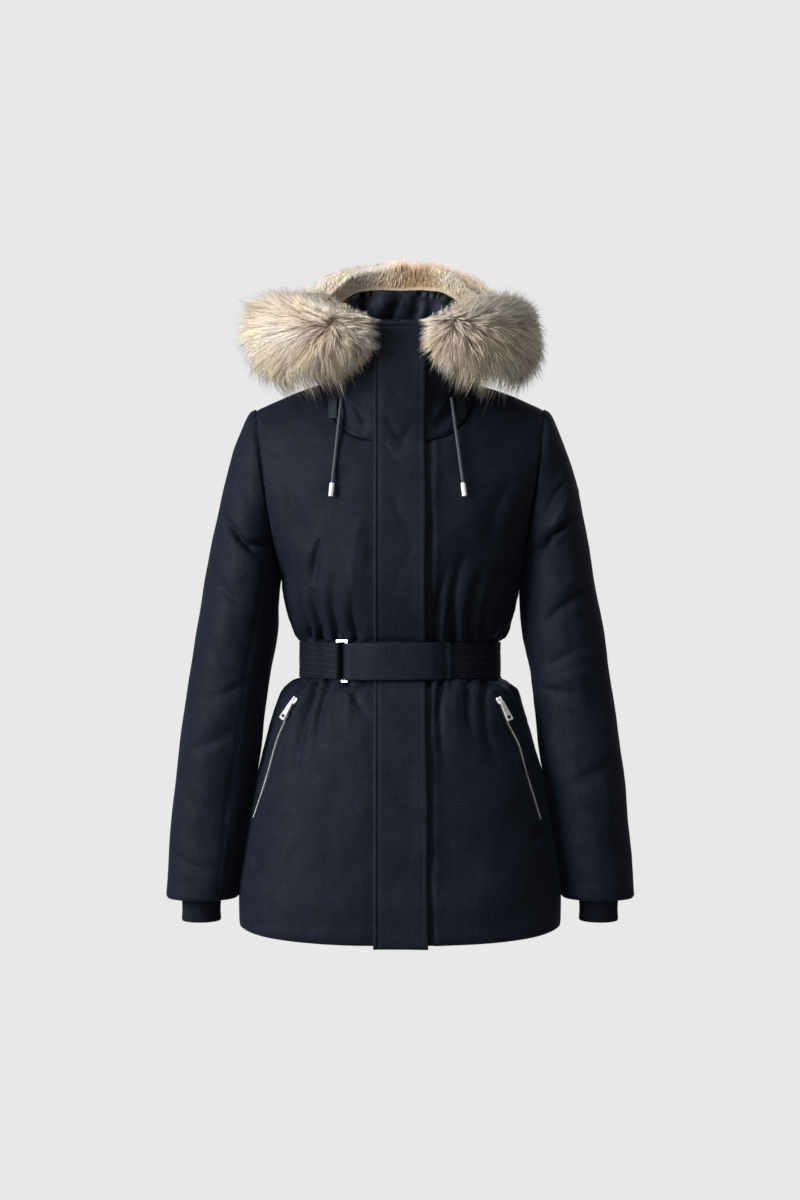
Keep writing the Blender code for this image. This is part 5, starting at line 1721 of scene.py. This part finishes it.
def inner_hairs(rng, span, count):
    """Shorter hairs on the flat side, which shows over the back of the opening."""
    turn = rng.uniform(*span, count)
    q = rng.uniform(-0.6, 1.0, count)
    start, out, up, reach = fur_frame(turn)
    rise = np.where(q > 0, reach["up"], reach["down"]) * CORE_SHARE * q
    root = start + up * rise[:, None]
    behind = ease(root[:, 1], 0.02, 0.09)
    aside = ripple(root, 0.030, 0.35, 141) + rng.normal(0, 0.07, count)
    way = unit(-out * 0.05 + up + np.cross(out, up) * aside[:, None]
               + rng.normal(0, 0.05, (count, 3)))
    long = mix(rng.uniform(0.007, 0.013, count), reach["up"] * rng.uniform(0.50, 0.82, count),
               behind)[:, None]
    tip = root + way * long
    middle = root + unit(way - out * 0.22) * long * 0.5
    return (root, middle, tip, rng.uniform(0.00034, 0.00060, count),
            ripple(root, 0.012, 0.10, 142) + rng.uniform(-0.08, 0.08, count),
            np.ones(count, bool))


def hair_tones(rng, root, tip, lock_tone):
    """Colours at root, middle and tip: cream and straw, rosy grey round each swirl, and
    golden brown behind, with painted shade on top of the front ends."""
    count = len(root)
    behind = ease(tip[:, 1], 0.07, 0.13)
    pale = mix(rng.beta(2.4, 1.3, count), 0.62, 0.7 * behind)
    pale = np.clip(pale + lock_tone + ripple(tip, 0.050, 0.18, 131) + 0.30 * behind, 0, 1)
    straw = np.clip(0.40 + ripple(tip, 0.060, 0.60, 132)
                    + 0.75 * ease(-tip[:, 2], -0.10, 0.0), 0, 1) * rng.uniform(0.6, 1.0, count)
    tips = mix(ASH, mix(CREAM, STRAW, straw[:, None]),
               pale[:, None])
    middles = mix(UMBER, tips * 0.92, (0.35 + 0.65 * pale)[:, None])
    for (turn, angle), sign in zip(SWIRLS, (-1, 1)):
        middle = fur_point(np.array([2 - turn if sign < 0 else turn]), np.array([angle]), 0.9)
        away = np.linalg.norm((root - middle) * np.array((1, 0.6, 0.8)), axis=1)
        rosy = near(away, 0, 0.027) * rng.uniform(0.35, 1.0, count)
        tips = mix(tips, ROSY * 1.2, rosy[:, None] * 0.75)
        middles = mix(middles, ROSY * 0.9, rosy[:, None] * 0.85)
    gilt = behind * near(tip[:, 0], 0.024, 0.050) * rng.uniform(0.5, 1.0, count)
    tips = mix(tips, GOLD * 1.08, gilt[:, None])
    middles = mix(middles, GOLD * 0.74, gilt[:, None])
    # Some dark guard hairs give the fur its streaks.
    dark = (rng.uniform(0, 1, count) < (0.13 + 0.14 * (1 - pale)) * (1 - 0.8 * behind))[:, None]
    tips, middles = np.where(dark, tips * 0.42, tips), np.where(dark, middles * 0.34, middles)
    # The hair on top of the front ends is painted darker, a painted shade against the light that falls on
    # it from above; all other hair is made a tenth brighter.
    painted_top_shade = (1.10 - 0.46 * ease(tip[:, 2], 0.06, 0.15) * (1 - behind))[:, None]
    tips, middles = tips * painted_top_shade, middles * painted_top_shade
    roots = mix(BARK, UMBER, rng.uniform(0, 1, (count, 1)))
    return roots, np.clip(middles, 0, 1), np.clip(tips, 0, 1)


LONG_HAIR = [(0, 1, 4), (0, 4, 3), (1, 2, 5), (1, 5, 4), (2, 0, 3), (2, 3, 5),
             (3, 4, 6), (4, 5, 6), (5, 3, 6), (2, 1, 0)]
SHORT_HAIR = [(0, 1, 3), (1, 2, 3), (2, 0, 3), (2, 1, 0)]


def ring_round(rng, root, tip):
    way = unit(tip - root)
    side = unit(np.cross(way, rng.normal(size=(len(root), 3))))
    return side, np.cross(way, side)


def fur_piece(name, span, seed, long_count, short_count, inner_count):
    """One piece of fur: long bent hairs over short straight ones."""
    rng = np.random.default_rng(seed)
    parts = [outer_hairs(rng, span, long_count, short_count), inner_hairs(rng, span, inner_count)]
    root, middle, tip, thick, lock_tone, long = (np.concatenate(c) for c in zip(*parts))
    roots, middles, tips = hair_tones(rng, root, tip, lock_tone)
    side, other = ring_round(rng, root, tip)
    turned = [2 * math.pi * k / 3 for k in range(3)]
    round_it = [(side * math.cos(a) + other * math.sin(a)) * thick[:, None] for a in turned]
    points, faces, tones, first = [], [], [], 0
    for kind, shape in ((long, LONG_HAIR), (~long, SHORT_HAIR)):
        rings = [(root + r)[kind] for r in round_it]
        colour = [roots[kind]] * 3
        if shape is LONG_HAIR:
            rings += [(middle + r * 0.85)[kind] for r in round_it]
            colour += [middles[kind]] * 3
        rings.append(tip[kind])
        colour.append(tips[kind] if shape is LONG_HAIR else middles[kind])
        offset = first + np.arange(kind.sum())[:, None, None] * len(rings)
        faces.append((offset + np.array(shape)[None]).reshape(-1, 3))
        points.append(np.stack(rings, axis=1).reshape(-1, 3))
        tones.append(np.stack(colour, axis=1).reshape(-1, 3))
        first += len(points[-1])
    made = add_object(name, np.concatenate(points), np.concatenate(faces), MATERIALS["fur"])
    set_tone(made, np.concatenate(tones))
    settle(made)


# ---- Zip sliders ----

# Half the outline of the slider's plate, from its crown down: across, down.
SLIDER_EDGE = [(0.0012, -0.0042), (0.0022, -0.0049), (0.0040, -0.0049), (0.0049, -0.0036),
               (0.0049, -0.0008), (0.0042, 0.0022), (0.0036, 0.0044), (0.0030, 0.0049)]


def zip_frame(side, sign):
    """At a slider: its place, and the directions across, out and down the zip."""
    stops = POCKET_ZIP[:2]
    points, normals = skirt_at(np.array([getattr(stop, side) for stop in stops]),
                               np.array([stop.z for stop in stops]))
    out = normals[0]
    down = points[1] - points[0]
    down = unit(down - out * (down @ out))
    flip = np.array((sign, 1, 1))
    out, down = out * flip, down * flip
    return points[0] * flip, np.cross(out, down), out, down


def slider(side, sign):
    """A shield-shaped plate with a rounded rim and an arched bridge over the pull's pin."""
    spot, across, out, down = zip_frame(side, sign)
    middle = spot + out * SLIDER_RISE - down * SLIDER_SHIFT
    edge = SLIDER_EDGE + [(-a, d) for a, d in SLIDER_EDGE[::-1]]
    levels = [(-0.0013, 0.90), (-0.0010, 0.99), (0.0004, 1.0), (0.0010, 0.93), (0.0013, 0.80)]
    points = [middle + across * a * k + down * d * k + out * rise
              for rise, k in levels for a, d in edge]
    count = len(edge)
    faces = ring_faces(0, len(levels), count)
    half = count // 2
    for first in (0, (len(levels) - 1) * count):
        faces += [(first + k, first + k + 1, first + count - 2 - k, first + count - 1 - k)
                  for k in range(half - 1)]
    first = len(points)
    arch = np.linspace(0, math.pi, 13)
    for angle in arch:
        way = -math.cos(angle)
        place = middle + down * 0.0040 * way + out * (0.0010 + 0.0026 * math.sin(angle) ** 0.6)
        out_here = unit(out * math.sin(angle) + down * way * 0.8)
        for a, rise in ((-1, -1), (1, -1), (1, 1), (-1, 1)):
            points.append(place + across * a * 0.0012 + out_here * rise * 0.0004)
    faces += ring_faces(first, len(arch), 4)
    last = first + 4 * (len(arch) - 1)
    faces += [(first + 3, first + 2, first + 1, first), (last, last + 1, last + 2, last + 3)]
    made = face_out(add_object("zip_slider_" + side, np.array(points), np.array(faces),
                               MATERIALS["metal"]))
    sharp = made.modifiers.new("corners", "BEVEL")
    sharp.width, sharp.segments, sharp.limit_method = 0.0002, 2, "ANGLE"
    settle(made, "slider_" + side)


# ---- Stage ----

FLOOR_Z = -1.35
PALE = 0.807


def stage():
    """A pale floor that curves up into a wall behind."""
    bend = np.linspace(0, math.pi / 2, 16)[1:]
    depth = np.concatenate((np.linspace(-6, 2.0, 12), 2.0 + 2.0 * np.sin(bend), np.full(6, 4.0)))
    height = np.concatenate((np.full(12, FLOOR_Z), FLOOR_Z + 2.0 * (1 - np.cos(bend)),
                             np.linspace(FLOOR_Z + 2.3, 5.0, 6)))
    wide = np.linspace(-8, 8, 5)
    grid = stack(wide[None, :], depth[:, None], height[:, None])
    m = Nodes("stage", (0.35, 0.35, 0.35), 0.9, specular=0.1)
    seen_as(m.tree, m.shader.outputs["BSDF"], m.tree.nodes["Material Output"])
    add_object("stage_floor", grid, grid_faces(numbered(*grid.shape[:2])), m.material)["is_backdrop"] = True


def seen_as(tree, other, output):
    """Shows the camera an even pale surface, while it lights the coat as what it is."""
    glow = tree.nodes.new("ShaderNodeEmission" if output.type != "OUTPUT_WORLD"
                          else "ShaderNodeBackground")
    glow.inputs["Color"].default_value = (PALE, PALE, PALE, 1)
    pick = tree.nodes.new("ShaderNodeMixShader")
    tree.links.new(tree.nodes.new("ShaderNodeLightPath").outputs["Is Camera Ray"],
                   pick.inputs["Fac"])
    tree.links.new(other, pick.inputs[1])
    tree.links.new(glow.outputs[0], pick.inputs[2])
    tree.links.new(pick.outputs["Shader"], output.inputs["Surface"])


def light(name, place, target, size, power):
    """A soft lamp of a size in metres and a power in watts that faces a target."""
    data = bpy.data.lights.new(name, "AREA")
    data.shape = "RECTANGLE"
    data.size, data.size_y = size
    data.energy = power
    made = bpy.data.objects.new(name, data)
    made.location = place
    made.rotation_euler = (Vector(target) - Vector(place)).to_track_quat("-Z", "Y").to_euler()
    bpy.context.scene.collection.objects.link(made)


def lights():
    world = bpy.data.worlds.new("world")
    bpy.context.scene.world = world
    world.use_nodes = True
    tree = world.node_tree
    tree.nodes["Background"].inputs["Color"].default_value = (1, 1, 1, 1)
    tree.nodes["Background"].inputs["Strength"].default_value = 0.25
    seen_as(tree, tree.nodes["Background"].outputs[0], tree.nodes["World Output"])
    light("key", (-2.8, -1.9, 0.75), (0, 0, -0.10), (1.5, 2.2), 205)
    light("top", (-0.3, -1.1, 2.5), (0, 0, 0), (1.8, 1.8), 43)
    light("back", (1.2, 3.2, 1.4), (0, 0, -0.1), (1.6, 1.6), 13)
    light("front", (0.0, -3.6, -0.1), (0, 0, -0.25), (1.2, 1.2), 8)


# ---- The parka ----

bpy.context.scene.view_settings.view_transform = "Standard"
panel("front_right_cloth", (-1,), True, FRONT_RIGHT_FOLDS, 11, "front_right")
panel("front_left_cloth", (1,), True, FRONT_LEFT_FOLDS, 21, "front_left")
panel("back_cloth", (-1, 1), False, BACK_FOLDS, 31, "back")
sleeve("sleeve_right_cloth", -1, SLEEVE_RIGHT_FOLDS, 41, "sleeve_right")
sleeve("sleeve_left_cloth", 1, SLEEVE_LEFT_FOLDS, 51, "sleeve_left")
cuff("cuff_right_knit", -1, "cuff_right")
cuff("cuff_left_knit", 1, "cuff_left")
hood_layer("hood_shell_cloth", "hood_shell", 0.0, HOOD_WALL,
           MATERIALS["shell"], shell_relief)
hood_layer("hood_lining_cloth", "hood_lining", HOOD_WALL + GAP, LINING_WALL,
           MATERIALS["lining"], lining_relief, lining_painted_light)
storm_flap()
belt()
for side, sign in (("right", -1), ("left", 1)):
    pocket_zip(side, sign)
    cord_tab(side, sign)
    drawcord(side, sign)
    slider(side, sign)
    paint("pull_" + side, "metal")
paint("buckle", "metal")
fur_core()
quarter_turn = (1 - FUR_FIRST) / 2
fur_ends = (FUR_FIRST, FUR_FIRST + quarter_turn, 1.0, 2 - FUR_FIRST - quarter_turn, 2 - FUR_FIRST)
for number, name in enumerate(("left_lobe", "left_back", "right_back", "right_lobe")):
    fur_piece("fur_" + name, fur_ends[number:number + 2], 121 + number,
              *(LOBE_HAIRS if "lobe" in name else BACK_HAIRS))
stage()
lights()

# ---- A table of sheets, with the size each is cut to; the loop only makes a list of each one's rests ----
for name, flat, area, held, rests in (
        ("front_right_cloth", (0.300, 0.640), 0.168, "gathered", ["back_cloth"]),
        ("front_left_cloth", (0.300, 0.640), 0.168, "gathered", ["back_cloth"]),
        ("back_cloth", (0.580, 0.640), 0.346, "gathered", ["front_right_cloth"]),
        ("sleeve_right_cloth", (0.400, 0.610), 0.181, "draped", ["back_cloth"]),
        ("sleeve_left_cloth", (0.400, 0.610), 0.181, "draped", ["back_cloth"]),
        ("cuff_right_knit", (0.220, 0.056), None, "stretched", ["sleeve_right_cloth"]),
        ("cuff_left_knit", (0.220, 0.056), None, "stretched", ["sleeve_left_cloth"]),
        ("hood_shell_cloth", (0.600, 0.300), 0.151, "draped", ["back_cloth"]),
        ("hood_lining_cloth", (0.580, 0.300), 0.145, "gathered", ["hood_shell_cloth"]),
        ("storm_flap_cloth", (0.070, 0.810), None, "draped", ["front_left_cloth"]),
        ("belt_cloth_strip", (0.049, 0.905), None, "stretched", ["front_right_cloth"])):
    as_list(rests)

plain = [[[float(v) for v in corner] for corner in one] for one in (cad_box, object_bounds())]
